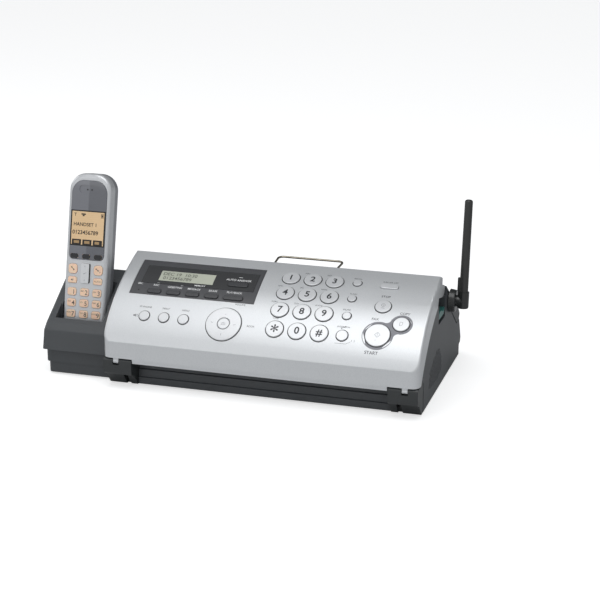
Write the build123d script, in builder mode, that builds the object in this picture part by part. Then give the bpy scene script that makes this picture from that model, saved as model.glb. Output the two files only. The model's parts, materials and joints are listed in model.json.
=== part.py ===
"""Thermal-film fax machine with a sloping operation panel and a cordless handset in a side cradle.

Millimetres, +Z up, front towards -Y. The row frame's origin is at the bottom centre of the whole
object. The main unit is drawn on three planes of its own: across is measured from the middle of
the unit, back from the front face of its cover, and up from the surface it stands on.
"""
import os
from math import cos, degrees, radians, sin

from build123d import *

# ---- driving dimensions -------------------------------------------------------------------------
body_width = 352.0          # main unit, outside the silver cover
body_depth = 225.0          # front face to the rearmost line of the cabinet
cradle_width = 80.4         # handset cradle, beside the left flank
cradle_gap = 0.6            # between the cradle and the front cover, which swings past it
antenna_reach = 21.3        # how far the antenna stands out from the right flank
wall = 2.5                  # moulded wall thickness
seam = 0.6                  # gap between mouldings that open
fit_gap = 0.4               # gap between two pieces of one body that do not touch
running_gap = 0.05          # radial clearance of a shaft in its bearing

# the panel's section: a front face, then three tangent arcs up to the ridge
cover_low = 36.5            # underside of the front cover
panel_edge_z = 55.3         # edge between the front face and the slope
panel_slope = 61.6          # slope where the panel starts, degrees
panel_arcs = [(102.5, 18.0), (166.7, 16.7), (283.7, 10.3)]   # radius, turn in degrees
cover_rear = 109.0          # rear face of the ridge
skirt_foot = 13.0           # where the side skirt's lower edge meets the cover's underside
skirt_middle = (41.0, 69.0)
skirt_top = (88.0, 98.0)
cheek_width = 17.0          # silver cheek behind each end of the ridge
cheek_top = 112.5
cheek_rear = 128.5
front_corner = 9.0          # radius of the cover's front corners
lip_low = 31.4              # lower lip of the cover between the brackets
bracket_inner = 143.0       # inner side of a corner bracket, across
hinge_back, hinge_up = 3.7, 32.2        # front cover's hinge line
knuckle = 3.2               # radius of the bracket around the hinge line
cover_lug = 158.0           # inner side of each hinge lug, across
lug_width = 6.0
lug_pin = 1.5               # radius of a hinge pin

# back cover
back_front = 130.5          # front edge of the back cover
back_top = 110.0
back_slope_end = (206.0, 60.0)
back_hinge_back, back_hinge_up = 212.6, 48.8
back_knuckle = 2.6
back_side_front = 165.1     # where the back cover's side walls start
back_seam = [(165.1, 70.5), (196.6, 46.8)]
paper_slot = (137.0, 147.0)     # recording paper inlet, back from the front face
paper_slot_width = 224.0
document_slot_width = 224.0
wire_at = (154.0, 99.0)         # hinge line of the wire paper support
wire_foot, wire_end = 42.0, 39.0    # half width at the ears and at the far bar
wire_reach, wire_rise = 56.0, 4.0
wire_radius = 1.25

# cabinet
base_low = 2.0              # underside of the cabinet, on its feet
front_wall = 20.0           # lowest band of the front wall, under the paper exit
front_wall_top = 26.0
floor_front = 26.6          # front edge of the floor and the side plates
rear_wall = 216.0           # outer face of the rear wall's foot
rear_line = [(rear_wall, 14.0), (223.0, 15.0), (225.0, 20.0), (213.4, 45.4)]
frame_side = 121.0          # inner face of each chassis plate, across
frame_wall = 3.0

# running gear: back and up of each shaft
platen_at = (58.0, 62.0)
platen_radius, feed_radius = 9.0, 7.0
supply_at = (150.0, 56.0)
supply_radius, takeup_radius = 16.0, 11.0
shaft_radius = 3.0
gear_module = 1.0
platen_teeth, feed_teeth, takeup_teeth, pinion_teeth = 46, 44, 32, 12
gear_plane = 127.0          # inner face of the gear train on the left, across
gear_width = 6.0
backlash = 0.16             # taken off each tooth, along the pitch line

# keys: across the unit, along the panel from its lower edge
key_proud = 1.4
key_depth = 4.4
key_gap = 0.45              # between a key and its hole
key_flange = 1.0            # how far the hidden flange stands out under the cover
dial_middle, dial_pitch, dial_diameter = 39.0, 24.57, 19.1
dial_rows = [105.1, 80.8, 56.5, 32.2]
nav_at = (-42.8, 32.4)
nav_diameter, nav_centre_diameter = 39.0, 13.0

# display
bezel_across = (-159.4, -16.2)
bezel_along = (60.8, 115.2)
window_across = (-151.0, -21.0)
window_along = (77.4, 106.4)

# handset and cradle
handset_lean = 13.0
handset_length, handset_width = 180.0, 50.0
handset_front, handset_back = 13.0, 15.0     # thickness of the two shells
handset_at = (-219.0, 44.6, 43.0)            # bottom middle of its front face
pocket_gap = 1.8

# antenna
antenna_at = (152.0, 87.0)
antenna_lean = 7.7
antenna_length = 113.0       # hinge line to tip

# ---- working planes -----------------------------------------------------------------------------
half = body_width / 2
unit_x = (cradle_width + cradle_gap - antenna_reach) / 2
front_y = -body_depth / 2
side = Plane(origin=(unit_x, front_y, 0), x_dir=(0, 1, 0), z_dir=(1, 0, 0))
plan = Plane(origin=(unit_x, front_y, 0))
front = Plane(origin=(unit_x, front_y, 0), x_dir=(1, 0, 0), z_dir=(0, -1, 0))

os.makedirs("parts", exist_ok=True)


def write(part, name):
    """Label a finished piece and write its STEP file."""
    part.label = name
    export_step(part, f"parts/{name}.step")


def on_panel(along, depth=0.0):
    """Back, up and slope of the panel at a length along its section, some depth below it."""
    back, up, slope = 0.0, panel_edge_z, panel_slope
    for radius, turn in panel_arcs:
        step = min(along, radius * radians(turn))
        angle = degrees(step / radius)
        chord = 2 * radius * sin(radians(angle / 2))
        back += chord * cos(radians(slope - angle / 2))
        up += chord * sin(radians(slope - angle / 2))
        slope -= angle
        along -= step
    return back + depth * sin(radians(slope)), up - depth * cos(radians(slope)), slope


def panel_plane(across, along):
    """Plane that lies on the panel there, its normal pointing out of the cover."""
    back, up, slope = on_panel(along)
    return Plane(
        origin=(unit_x + across, front_y + back, up),
        x_dir=(1, 0, 0),
        z_dir=(0, -sin(radians(slope)), cos(radians(slope))),
    )


def panel_line(depth):
    """Draw the panel's three arcs, some depth below its surface, and return both ends."""
    back, up, slope = on_panel(0, depth)
    start = end = (back, up)
    for radius, turn in panel_arcs:
        arc = JernArc(end, (cos(radians(slope)), sin(radians(slope))), radius - depth, -turn)
        end = (arc @ 1).X, (arc @ 1).Y
        slope -= turn
    return start, end


def panel_slab(above, below, across, width, mode=Mode.ADD):
    """Solid between two lines that follow the panel, width wide about a place across."""
    with BuildSketch(side.offset(across)) as section:
        with BuildLine():
            upper_start, upper_end = panel_line(-above)
            lower_start, lower_end = panel_line(below)
            Line(upper_start, lower_start)
            Line(upper_end, lower_end)
        make_face()
    extrude(section.sketch, amount=width / 2, both=True, mode=mode)


def key_outline(plane, size, grow):
    """Outline of a key on its plane: a circle, or a bar with rounded ends."""
    with BuildSketch(plane) as outline:
        if len(size) == 1:
            Circle(size[0] / 2 + grow)
        else:
            RectangleRounded(size[0] + 2 * grow, size[1] + 2 * grow, size[1] / 2 - 0.6 + grow)
    return outline.sketch


# ---- keys ---------------------------------------------------------------------------------------
keys = {}
for row, row_names in enumerate(["123", "456", "789", ["star", "0", "hash"]]):
    for column, digit in enumerate(row_names):
        across = dial_middle + (column - 1) * dial_pitch
        keys[f"dial_key_{digit}"] = (across, dial_rows[row], (dial_diameter,))
for column, name in enumerate(["speakerphone_key", "print_list_key", "menu_key"]):
    keys[name] = (-133.6 + column * 22.4, 32.8, (11.4,))
for column, name in enumerate(["rec_key", "greeting_key", "message_key", "erase_key"]):
    keys[name] = (-131.9 + column * 22.0, 66.2, (15.6, 6.2))
keys["playback_key"] = (-41.0, 66.4, (22.4, 6.2))
keys["answer_on_key"] = (-40.9, 86.3, (22.4, 6.2))
for name, along, diameter in [
    ("redial_key", 106.4, 9.2),
    ("flash_key", 81.2, 9.0),
    ("mute_key", 56.7, 9.2),
    ("intercom_key", 32.2, 12.4),
]:
    keys[name] = (88.5, along, (diameter,))
keys["caller_list_key"] = (124.2, 105.1, (19.6, 7.0))
keys["stop_key"] = (124.3, 74.0, (17.2,))
keys["copy_key"] = (148.3, 52.3, (17.4,))
keys["start_key"] = (125.9, 36.6, (26.6,))
keys["nav_ring"] = (*nav_at, (nav_diameter,))
keys["nav_centre_key"] = (*nav_at, (nav_centre_diameter,))

for name, (across, along, size) in keys.items():
    place = panel_plane(across, along)
    with BuildPart() as key:
        panel_slab(key_proud, key_depth, across, size[0] + 4)
        extrude(key_outline(place, size, 0), amount=20, both=True, mode=Mode.INTERSECT)
        if name == "nav_ring":
            hole = key_outline(place, (nav_centre_diameter,), key_gap)
            extrude(hole, amount=20, both=True, mode=Mode.SUBTRACT)
        top = [edge for edge in key.edges() if place.to_local_coords(edge.center()).Z > 0]
        fillet(top, 0.7)
    if name not in ("nav_ring", "nav_centre_key"):
        with BuildPart() as flange:
            panel_slab(-key_depth + 0.1, key_depth + 1.2, across, size[0] + 6)
            extrude(key_outline(place, size, key_flange), amount=20, both=True, mode=Mode.INTERSECT)
        key = key.part + flange.part
    else:
        key = key.part
    write(key, name)

# ---- front cover: the silver operation panel ----------------------------------------------------
ridge_back, ridge_up = on_panel(1000)[:2]
inner_half = half - wall
cover_holes = [name for name in keys if name != "nav_centre_key"]

with BuildPart() as cover_space:
    with BuildSketch(side):
        with BuildLine():
            start, end = panel_line(wall)
            Polyline(
                end,
                (cover_rear - wall, end[1] - wall),
                (cover_rear - wall, base_low),
                (wall, base_low),
                (wall, start[1]),
                start,
            )
        make_face()
    extrude(amount=inner_half, both=True)
    front_edges = cover_space.edges().filter_by(Axis.Z).group_by(Axis.Y)[0]
    fillet(front_edges, front_corner - wall)

with BuildPart() as front_cover:
    with BuildSketch(side):
        with BuildLine():
            Line((0, cover_low), (0, panel_edge_z))
            start, end = panel_line(0)
            Polyline(end, (cover_rear, end[1] - 2.6), (cover_rear, 111.0), (92.0, 107.9), skirt_top)
            ThreePointArc(skirt_top, skirt_middle, (skirt_foot, cover_low))
            Line((skirt_foot, cover_low), (0, cover_low))
        make_face()
    extrude(amount=half, both=True)
    fillet(front_cover.edges().filter_by(Axis.Z).group_by(Axis.Y)[0], front_corner)
    panel_faces = [f for f in front_cover.faces() if f.normal_at().Z > 0.3 and f.area > 5000]
    flank_edges = [
        edge
        for face in panel_faces
        for edge in face.edges()
        if abs(abs(edge.center().X - unit_x) - half) < 0.5
    ]
    fillet(flank_edges, 3.0)
    add(cover_space.part, mode=Mode.SUBTRACT)
    # cheeks behind the ends of the ridge, beside the document tray
    for end_side in (-1, 1):
        with BuildSketch(side.offset(end_side * (half - 1.2))):
            with BuildLine():
                FilletPolyline(
                    (ridge_back - 6, ridge_up - 7), (cheek_rear - 3, cheek_top), (cheek_rear, 108.5),
                    (cheek_rear - 2.5, 103.5), (117.0, 101.2), (ridge_back - 16, 107.5),
                    radius=1.6, close=True,
                )
            make_face()
        extrude(amount=-end_side * cheek_width)
    # lower lip between the brackets, in two steps
    with BuildSketch(side):
        Polygon((0.6, cover_low + 1), (0.6, 34.4), (1.4, 34.0), (1.4, lip_low), (3.4, lip_low),
                (3.4, cover_low + 1), align=None)
    extrude(amount=bracket_inner - 1, both=True)
    # hinge lugs that hook over the brackets' pins
    for end_side in (-1, 1):
        lug_middle = end_side * (cover_lug + lug_width / 2)
        with BuildSketch(side.offset(lug_middle)):
            with Locations((hinge_back, hinge_up)):
                Circle(knuckle - 0.4)
            Polygon((1.2, hinge_up), (6.0, hinge_up), (6.0, 41.0), (1.2, 41.0), align=None)
            with Locations((hinge_back, hinge_up)):
                Circle(lug_pin + running_gap, mode=Mode.SUBTRACT)
        extrude(amount=lug_width / 2, both=True)
    # opening for the display bezel
    with BuildSketch(side.offset(sum(bezel_across) / 2)):
        Polygon(
            on_panel(bezel_along[0] - fit_gap, -6)[:2], on_panel(bezel_along[1] + fit_gap, -6)[:2],
            on_panel(bezel_along[1] + fit_gap, 9)[:2], on_panel(bezel_along[0] - fit_gap, 9)[:2],
            align=None,
        )
    bezel_width = bezel_across[1] - bezel_across[0]
    extrude(amount=bezel_width / 2 + fit_gap, both=True, mode=Mode.SUBTRACT)
    # one hole for each key
    for name in cover_holes:
        across, along, size = keys[name]
        if along > bezel_along[0] and across < bezel_across[1]:
            continue
        hole = key_outline(panel_plane(across, along), size, key_gap)
        extrude(hole, amount=9, both=True, mode=Mode.SUBTRACT)
write(front_cover.part, "front_cover")


def panel_plate(above, below, across, along):
    """Plate that follows the panel between two places across and two along."""
    middle = sum(across) / 2
    width = across[1] - across[0]
    panel_slab(above, below, middle, width)
    with BuildSketch(side.offset(middle)) as stretch:
        Polygon(
            on_panel(along[0], -12)[:2], on_panel(along[1], -12)[:2],
            on_panel(along[1], 12)[:2], on_panel(along[0], 12)[:2], align=None,
        )
    extrude(stretch.sketch, amount=width, both=True, mode=Mode.INTERSECT)


# ---- display bezel and window -------------------------------------------------------------------
with BuildPart() as window_block:
    panel_plate(3, 1.4, window_across, window_along)

with BuildPart() as display_bezel:
    panel_plate(0.0, 3.2, bezel_across, bezel_along)
    add(window_block.part, mode=Mode.SUBTRACT)
    for name, (across, along, size) in keys.items():
        if along > bezel_along[0] and across < bezel_across[1]:
            hole = key_outline(panel_plane(across, along), size, key_gap)
            extrude(hole, amount=9, both=True, mode=Mode.SUBTRACT)
write(display_bezel.part, "display_bezel")

with BuildPart() as lcd_window:
    panel_plate(
        0.2, 1.3,
        (window_across[0] + 0.2, window_across[1] - 0.2),
        (window_along[0] + 0.2, window_along[1] - 0.2),
    )
    across, along, size = keys["answer_on_key"]
    hole = key_outline(panel_plane(across, along), size, key_gap)
    extrude(hole, amount=9, both=True, mode=Mode.SUBTRACT)
write(lcd_window.part, "lcd_window")

# ---- document tray and its two guides -----------------------------------------------------------
tray_half = half - 1.2 - cheek_width - fit_gap
tray_front = cover_rear + fit_gap
tray_slope = [(tray_front, 119.0), (129.0, 110.6), (129.0, 107.6), (tray_front, 116.0)]
slot_back = (112.6, 119.0)

with BuildPart() as document_tray:
    with BuildSketch(side):
        Polygon(*tray_slope, align=None)
    extrude(amount=tray_half, both=True)
    with BuildSketch(plan.offset(100)):
        with Locations((0, sum(slot_back) / 2)):
            Rectangle(document_slot_width, slot_back[1] - slot_back[0])
    extrude(amount=30, mode=Mode.SUBTRACT)
write(document_tray.part, "document_tray")

guide_rest = 109.0           # inner face of each guide, for the widest sheet
for name, end_side in [("document_guide_left", -1), ("document_guide_right", 1)]:
    with BuildPart() as guide:
        with BuildSketch(side.offset(end_side * guide_rest)):
            Polygon((112.0, 118.4), (127.0, 112.0), (127.0, 113.5), (112.0, 119.9), align=None)
        extrude(amount=end_side * 16)
        with BuildSketch(side.offset(end_side * guide_rest)):
            Polygon((112.0, 119.0), (127.0, 112.6), (126.0, 118.0), (114.0, 122.6), align=None)
        extrude(amount=end_side * 2)
    write(guide.part, name)

# ---- corner brackets ----------------------------------------------------------------------------
bracket_outer = half - 0.6
with BuildPart() as corner_brackets:
    for end_side in (-1, 1):
        with BuildSketch(side.offset(end_side * bracket_inner)):
            with BuildLine():
                Polyline((hinge_back, hinge_up + knuckle), (26.0, hinge_up + knuckle),
                         (26.0, 1.6), (19.0, 1.6), (8.0, 15.0), (2.6, 17.0), (0.5, 19.0),
                         (0.5, hinge_up))
                RadiusArc((0.5, hinge_up), (hinge_back, hinge_up + knuckle), knuckle)
            make_face()
        extrude(amount=end_side * (bracket_outer - bracket_inner))
    for end_side in (-1, 1):
        lug_plane = side.offset(end_side * (cover_lug + lug_width / 2))
        # slot for the cover's lug, with the pin left standing in it
        with BuildSketch(lug_plane):
            Polygon((-2, 28.4), (7.4, 28.4), (7.4, 40), (-2, 40), align=None)
        extrude(amount=lug_width / 2 + 0.5, both=True, mode=Mode.SUBTRACT)
        with BuildSketch(lug_plane):
            with Locations((hinge_back, hinge_up)):
                Circle(lug_pin)
        extrude(amount=lug_width / 2 + 1.5, both=True)
        # drain slot in the slanting foot
        with BuildSketch(front.offset(-22)):
            with Locations((end_side * (bracket_inner + 10), 8.0)):
                Rectangle(5.0, 18.0)
        extrude(amount=24, mode=Mode.SUBTRACT)
write(corner_brackets.part, "corner_brackets")

# ---- cabinet ------------------------------------------------------------------------------------
flank = half - 0.3           # outer face of the cabinet's side plates, across
recess_depth = 9.0           # of the pocket around the release lever
lever_at, lever_pivot = (103.0, 84.0), 2.0      # its pivot line and the pivot's radius
recess = [(96.0, 76.0), (131.0, 76.0), (131.0, 112.0), (96.0, 112.0)]
rear_top = rear_line[-1]
hinge_arms = (-150.0, -104.0, 96.0, 142.0)      # left side of each arm of the back hinge
rear_lip = 172.9
slope_end_back, slope_end_up = back_slope_end
cover_fall = (back_top - slope_end_up) / (slope_end_back - back_front)


def back_roof(back, depth=0.0):
    """Height of the back cover's roof at a place back, some depth below it."""
    return back_top - (back - back_front) * cover_fall - depth


tower_drop = wall + seam + 0.4
tower_front, tower_rear = back_front + 0.5, back_side_front - seam
flank_top = [
    (tower_rear, back_seam[0][1] - 1.2),
    (tower_rear, back_roof(tower_rear, tower_drop)),
    (tower_front, back_roof(tower_front, tower_drop)),
    (tower_front, 99.0),
    (116.0, 99.0),
    (skirt_top[0] + 1.0, skirt_top[1] - 1.0),
]
skirt_clear = (skirt_middle[0] + 0.7, skirt_middle[1] - 1.0)
skirt_end = (skirt_foot + 2.6, hinge_up + knuckle + 0.1)

grille_middle = (86.0, 32.0)
grille_pitch, grille_slot = 5.2, 2.2
grille_outline = [(52, 17), (100, 14), (117, 20), (116, 33), (104, 47), (90, 49), (69, 43), (55, 35)]

jack_across = (-148.0, -128.0)
inlet_across = 120.0
jack_back, jack_up = 214.6, 31.0

with BuildPart() as base_cabinet:
    for end_side in (-1, 1):
        with BuildSketch(side.offset(end_side * flank)):
            with BuildLine():
                ThreePointArc(flank_top[-1], skirt_clear, skirt_end)
                Polyline(skirt_end, (floor_front, skirt_end[1]), (floor_front, base_low),
                         (rear_wall, base_low), *rear_line, (back_seam[1][0], rear_top[1]), *flank_top)
            make_face()
        extrude(amount=-end_side * wall)
    # floor, with its ventilation slots
    with BuildSketch(plan.offset(base_low)):
        with Locations((0, (floor_front + rear_wall) / 2)):
            Rectangle(2 * flank - 1, rear_wall - floor_front + 0.4)
    extrude(amount=wall)
    with BuildSketch(plan.offset(base_low)):
        with Locations((-60, 170), (60, 170)):
            with GridLocations(0, 9, 1, 6):
                SlotOverall(60, 3.2)
    extrude(amount=wall, mode=Mode.SUBTRACT)
    # rear wall
    with BuildSketch(side):
        Polygon((rear_wall, base_low), *rear_line, (rear_top[0] - 3, rear_top[1]), (222.0, 20.0),
                (rear_wall - wall, 17.0), (rear_wall - wall, base_low), align=None)
    extrude(amount=flank - 0.5, both=True)
    # lip of the rear wall under the back cover's edge, either side of the two hinges
    for low, high in [(-rear_lip, hinge_arms[0] - seam),
                      (hinge_arms[1] + 8 + seam, hinge_arms[2] - seam),
                      (hinge_arms[3] + 8 + seam, rear_lip)]:
        with BuildSketch(side.offset(low)):
            Polygon((rear_top[0] - 0.2, rear_top[1]), (back_hinge_back - 3.2, back_hinge_up + 1.6),
                    (back_hinge_back - 5.2, back_hinge_up + 1.6), (rear_top[0] - 2.8, rear_top[1] - 0.8),
                    align=None)
        extrude(amount=high - low)
    # front wall below the paper exit, in three bands
    with BuildSketch(side):
        Polygon((front_wall, base_low), (front_wall, 9.6), (front_wall + 1.4, 10.4),
                (front_wall + 1.4, 18.6), (front_wall + 3, 19.4), (front_wall + 3, front_wall_top),
                (front_wall + 6, front_wall_top), (front_wall + 6, base_low), align=None)
    extrude(amount=bracket_inner - 0.4, both=True)
    with BuildSketch(side):
        Polygon((floor_front, base_low), (floor_front, skirt_end[1]),
                (floor_front + wall, skirt_end[1]), (floor_front + wall, base_low), align=None)
    extrude(amount=flank - 0.5, both=True)
    with BuildSketch(side):
        Polygon((floor_front - 1.6, front_wall_top), (floor_front + 3.4, front_wall_top),
                (floor_front + 3.4, 60.0), (floor_front - 1.6, 60.0), align=None)
    extrude(amount=document_slot_width / 2 + 4, both=True, mode=Mode.SUBTRACT)
    with BuildSketch(side):
        Polygon((front_wall + 5.5, base_low), (floor_front + 0.4, base_low),
                (floor_front + 0.4, 20.0), (front_wall + 5.5, 20.0), align=None)
    extrude(amount=bracket_inner - 0.4, both=True)
    # chassis plates that carry the rollers and the film frame
    for end_side in (-1, 1):
        with BuildSketch(side.offset(end_side * frame_side)):
            Polygon((36, base_low + wall), (36, 66), (62, 88), (98, 106), (124, 97), (150, 82),
                    (176, 60), (176, base_low + wall), align=None)
        extrude(amount=end_side * frame_wall)
    # pocket around the release lever, closed by an inner wall
    with BuildSketch(side.offset(flank)):
        Polygon(*recess, align=None)
    extrude(amount=-wall, mode=Mode.SUBTRACT)
    with BuildSketch(side.offset(flank)):
        Polygon((94.0, 74.0), (131.0, 74.0), (131.0, 99.0), (116.0, 99.0), (94.0, 97.0), align=None)
        Polygon((96.0, 76.0), (128.6, 76.0), (128.6, 102.0), (96.0, 102.0), align=None,
                mode=Mode.SUBTRACT)
    extrude(amount=-recess_depth)
    with BuildSketch(side.offset(flank - recess_depth)):
        Polygon((94.0, 74.0), (131.0, 74.0), (131.0, 99.0), (116.0, 99.0), (94.0, 97.0), align=None)
    extrude(amount=-2.0)
    with BuildSketch(side.offset(flank)):
        with Locations(lever_at):
            Circle(lever_pivot + running_gap)
    extrude(amount=-recess_depth - 4, mode=Mode.SUBTRACT)
    # hinge arms for the back cover
    for across in hinge_arms:
        with BuildSketch(side.offset(across)):
            with Locations((back_hinge_back, back_hinge_up)):
                Circle(back_knuckle - 0.1)
            Polygon((back_hinge_back - 2.4, back_hinge_up), (back_hinge_back + 2.4, back_hinge_up),
                    (back_hinge_back + 2.4, rear_top[1] - 3), (back_hinge_back - 2.4, rear_top[1] - 3),
                    align=None)
        extrude(amount=8.0)
    for across in (hinge_arms[0], hinge_arms[2]):
        with BuildSketch(side.offset(across)):
            with Locations((back_hinge_back, back_hinge_up)):
                Circle(lug_pin)
        extrude(amount=54.0)
    # bearings in the chassis plates
    feed_angle = radians(41.4)
    mesh = gear_module / 2
    feed_at = (
        platen_at[0] + (platen_teeth + feed_teeth) * mesh * cos(feed_angle),
        platen_at[1] + (platen_teeth + feed_teeth) * mesh * sin(feed_angle),
    )
    takeup_angle = radians(-18.0)
    takeup_at = (
        platen_at[0] + (platen_teeth + takeup_teeth) * mesh * cos(takeup_angle),
        platen_at[1] + (platen_teeth + takeup_teeth) * mesh * sin(takeup_angle),
    )
    pinion_angle = radians(-100.0)
    pinion_at = (
        platen_at[0] + (platen_teeth + pinion_teeth) * mesh * cos(pinion_angle),
        platen_at[1] + (platen_teeth + pinion_teeth) * mesh * sin(pinion_angle),
    )
    with BuildSketch(side):
        with Locations(platen_at, feed_at, supply_at, takeup_at):
            Circle(shaft_radius + running_gap)
    extrude(amount=frame_side + frame_wall + 1, both=True, mode=Mode.SUBTRACT)
    # bearing for the antenna's stub, in the right flank
    with BuildSketch(side.offset(flank)):
        with Locations(antenna_at):
            Circle(4.0 + running_gap)
    extrude(amount=-wall - 1, mode=Mode.SUBTRACT)
    # speaker grille: slanting slots inside a rounded outline
    with BuildSketch(side.offset(flank)):
        with Locations(Location((grille_middle[0], grille_middle[1], 0), (0, 0, 38))):
            with GridLocations(0, grille_pitch, 1, 11):
                SlotOverall(90, grille_slot)
        Polygon(*grille_outline, align=None, mode=Mode.INTERSECT)
    extrude(amount=-wall - 0.2, mode=Mode.SUBTRACT)
    # openings for the jacks in the rear wall
    with BuildSketch(front.offset(-226)):
        with Locations(*[(across, jack_up) for across in jack_across]):
            Rectangle(13.0, 12.0)
        with Locations((inlet_across, jack_up)):
            Rectangle(22.0, 14.0)
    extrude(amount=20, mode=Mode.SUBTRACT)
write(base_cabinet.part, "base_cabinet")

# ---- back cover ---------------------------------------------------------------------------------
with BuildPart() as back_cover:
    with BuildSketch(side):
        Polygon((back_front, back_top), back_slope_end, (212.6, 53.4), (212.6, 51.2), (210.0, 51.2),
                (204.6, slope_end_up - wall), (back_front, back_top - wall), align=None)
    extrude(amount=half, both=True)
    for end_side in (-1, 1):
        with BuildSketch(side.offset(end_side * half)):
            Polygon((back_side_front, back_roof(back_side_front, 1.0)), (206.0, 59.0),
                    (212.6, 53.0), (212.6, 50.8), (209.0, back_seam[1][1]), back_seam[1],
                    back_seam[0], align=None)
        extrude(amount=-end_side * wall)
    # raised rim behind the paper inlet and the inlet itself
    with BuildSketch(side):
        Polygon((paper_slot[1], back_roof(paper_slot[1], 1)),
                (paper_slot[1], back_roof(paper_slot[1], -2.4)),
                (paper_slot[1] + 2, back_roof(paper_slot[1] + 2, -2.4)),
                (paper_slot[1] + 9, back_roof(paper_slot[1] + 9, 1)), align=None)
    extrude(amount=paper_slot_width / 2 + 6, both=True)
    with BuildSketch(plan.offset(120)):
        with Locations((0, sum(paper_slot) / 2)):
            Rectangle(paper_slot_width, paper_slot[1] - paper_slot[0])
    extrude(amount=-40, mode=Mode.SUBTRACT)
    # knuckles around the pins of the cabinet's hinge arms
    for across in (-141.6, 104.4):
        with BuildSketch(side.offset(across)):
            with Locations((back_hinge_back, back_hinge_up)):
                Circle(back_knuckle)
            Polygon((back_hinge_back - 2.4, back_hinge_up), (back_hinge_back + 0.6, back_hinge_up),
                    (back_hinge_back - 0.2, 53.0), (back_hinge_back - 2.4, 53.0), align=None)
            with Locations((back_hinge_back, back_hinge_up)):
                Circle(lug_pin + running_gap, mode=Mode.SUBTRACT)
        extrude(amount=37.2)
    # clearance over the cabinet's hinge arms
    for across in hinge_arms:
        with BuildSketch(side.offset(across - 0.4)):
            with Locations((back_hinge_back, back_hinge_up)):
                Circle(back_knuckle + 0.5)
        extrude(amount=8.8, mode=Mode.SUBTRACT)
    # ears that hold the wire support
    for end_side in (-1, 1):
        with BuildSketch(side.offset(end_side * wire_foot)):
            Polygon((wire_at[0] - 4, back_roof(wire_at[0] - 4, 1)), (wire_at[0] - 3, wire_at[1] + 1),
                    (wire_at[0], wire_at[1] + 3.2), (wire_at[0] + 3, wire_at[1] + 1),
                    (wire_at[0] + 5, back_roof(wire_at[0] + 5, 1)), align=None)
            with Locations(wire_at):
                Circle(wire_radius + running_gap, mode=Mode.SUBTRACT)
        extrude(amount=end_side * 4.0)
write(back_cover.part, "back_cover")

# ---- wire paper support -------------------------------------------------------------------------
wire_corner = 6.0
wire_plane = Plane(
    origin=(unit_x, front_y + wire_at[0], wire_at[1]),
    x_dir=(1, 0, 0),
    z_dir=(0, -sin(radians(wire_rise)), cos(radians(wire_rise))),
)
with BuildPart() as paper_wire:
    with BuildLine(wire_plane) as wire_path:
        FilletPolyline(
            (-wire_foot - 6.0, 0), (-wire_foot + 6.5, 0), (-wire_end, wire_reach),
            (wire_end, wire_reach), (wire_foot - 6.5, 0), (wire_foot + 6.0, 0),
            radius=wire_corner,
        )
    with BuildSketch(Plane(wire_path.line @ 0, z_dir=wire_path.line % 0)):
        Circle(wire_radius)
    sweep()
write(paper_wire.part, "paper_wire")

# ---- release lever ------------------------------------------------------------------------------
with BuildPart() as release_lever:
    with BuildSketch(side.offset(flank - 0.6)):
        with BuildLine():
            FilletPolyline((99.4, 81.0), (103.0, 80.2), (124.0, 80.2), (127.0, 82.6), (127.0, 87.6),
                           (104.0, 88.2), (99.4, 86.6), radius=1.4, close=True)
        make_face()
    extrude(amount=-recess_depth + 1.6)
    with BuildSketch(side.offset(flank - 0.6)):
        with Locations((116, 87.0), (119, 87.0), (122, 87.0)):
            Rectangle(1.2, 2.0)
    extrude(amount=1.0)
    with BuildSketch(side.offset(flank - recess_depth - 2.2)):
        with Locations(lever_at):
            Circle(lever_pivot)
    extrude(amount=3.4)
write(release_lever.part, "release_lever")

# ---- antenna ------------------------------------------------------------------------------------
hub_radius, hub_depth = 13.0, 7.0
rod_radius = 4.9
sleeve_radius = 6.3
antenna_middle = half + antenna_reach - sleeve_radius
lean = radians(antenna_lean)
antenna_plane = Plane(
    origin=(unit_x + antenna_middle, front_y + antenna_at[0], antenna_at[1]),
    x_dir=(1, 0, 0),
    z_dir=(0, sin(lean), cos(lean)),
)
with BuildPart() as antenna_knuckle:
    with BuildSketch(side.offset(half + 0.5)):
        with Locations(antenna_at):
            Circle(hub_radius)
    extrude(amount=hub_depth, taper=8)
    fillet(antenna_knuckle.edges().group_by(Axis.X)[-1], 1.5)
    with BuildSketch(side.offset(flank - wall - 1.5)):
        with Locations(antenna_at):
            Circle(4.0)
    extrude(amount=wall + 3)
    with BuildSketch(side.offset(half + 0.5)):
        with Locations(antenna_at):
            Circle(6.4)
    extrude(amount=antenna_middle - half)
    with BuildSketch(antenna_plane.offset(-8.0)):
        Circle(sleeve_radius)
    extrude(amount=19.0)
    fillet(antenna_knuckle.edges().group_by(Axis.Z)[0], 2.0)
    with BuildSketch(antenna_plane.offset(2.0)):
        Circle(rod_radius)
    extrude(amount=20.0, mode=Mode.SUBTRACT)
write(antenna_knuckle.part, "antenna_knuckle")

with BuildPart() as antenna_rod:
    with BuildSketch(antenna_plane.offset(2.0)):
        Circle(rod_radius)
    extrude(amount=antenna_length - 2.0, taper=0.25)
    fillet(antenna_rod.edges().group_by(Axis.Z)[-1], 2.6)
    with BuildSketch(antenna_plane.offset(11.2)):
        with Locations((-rod_radius - 0.4, 0)):
            Rectangle(3.0, 5.0)
    extrude(amount=15.0)
write(antenna_rod.part, "antenna_rod")

# ---- running gear -------------------------------------------------------------------------------
roller_half = frame_side - 2.0
gear_root, gear_tip = 1.15, 0.9


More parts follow.
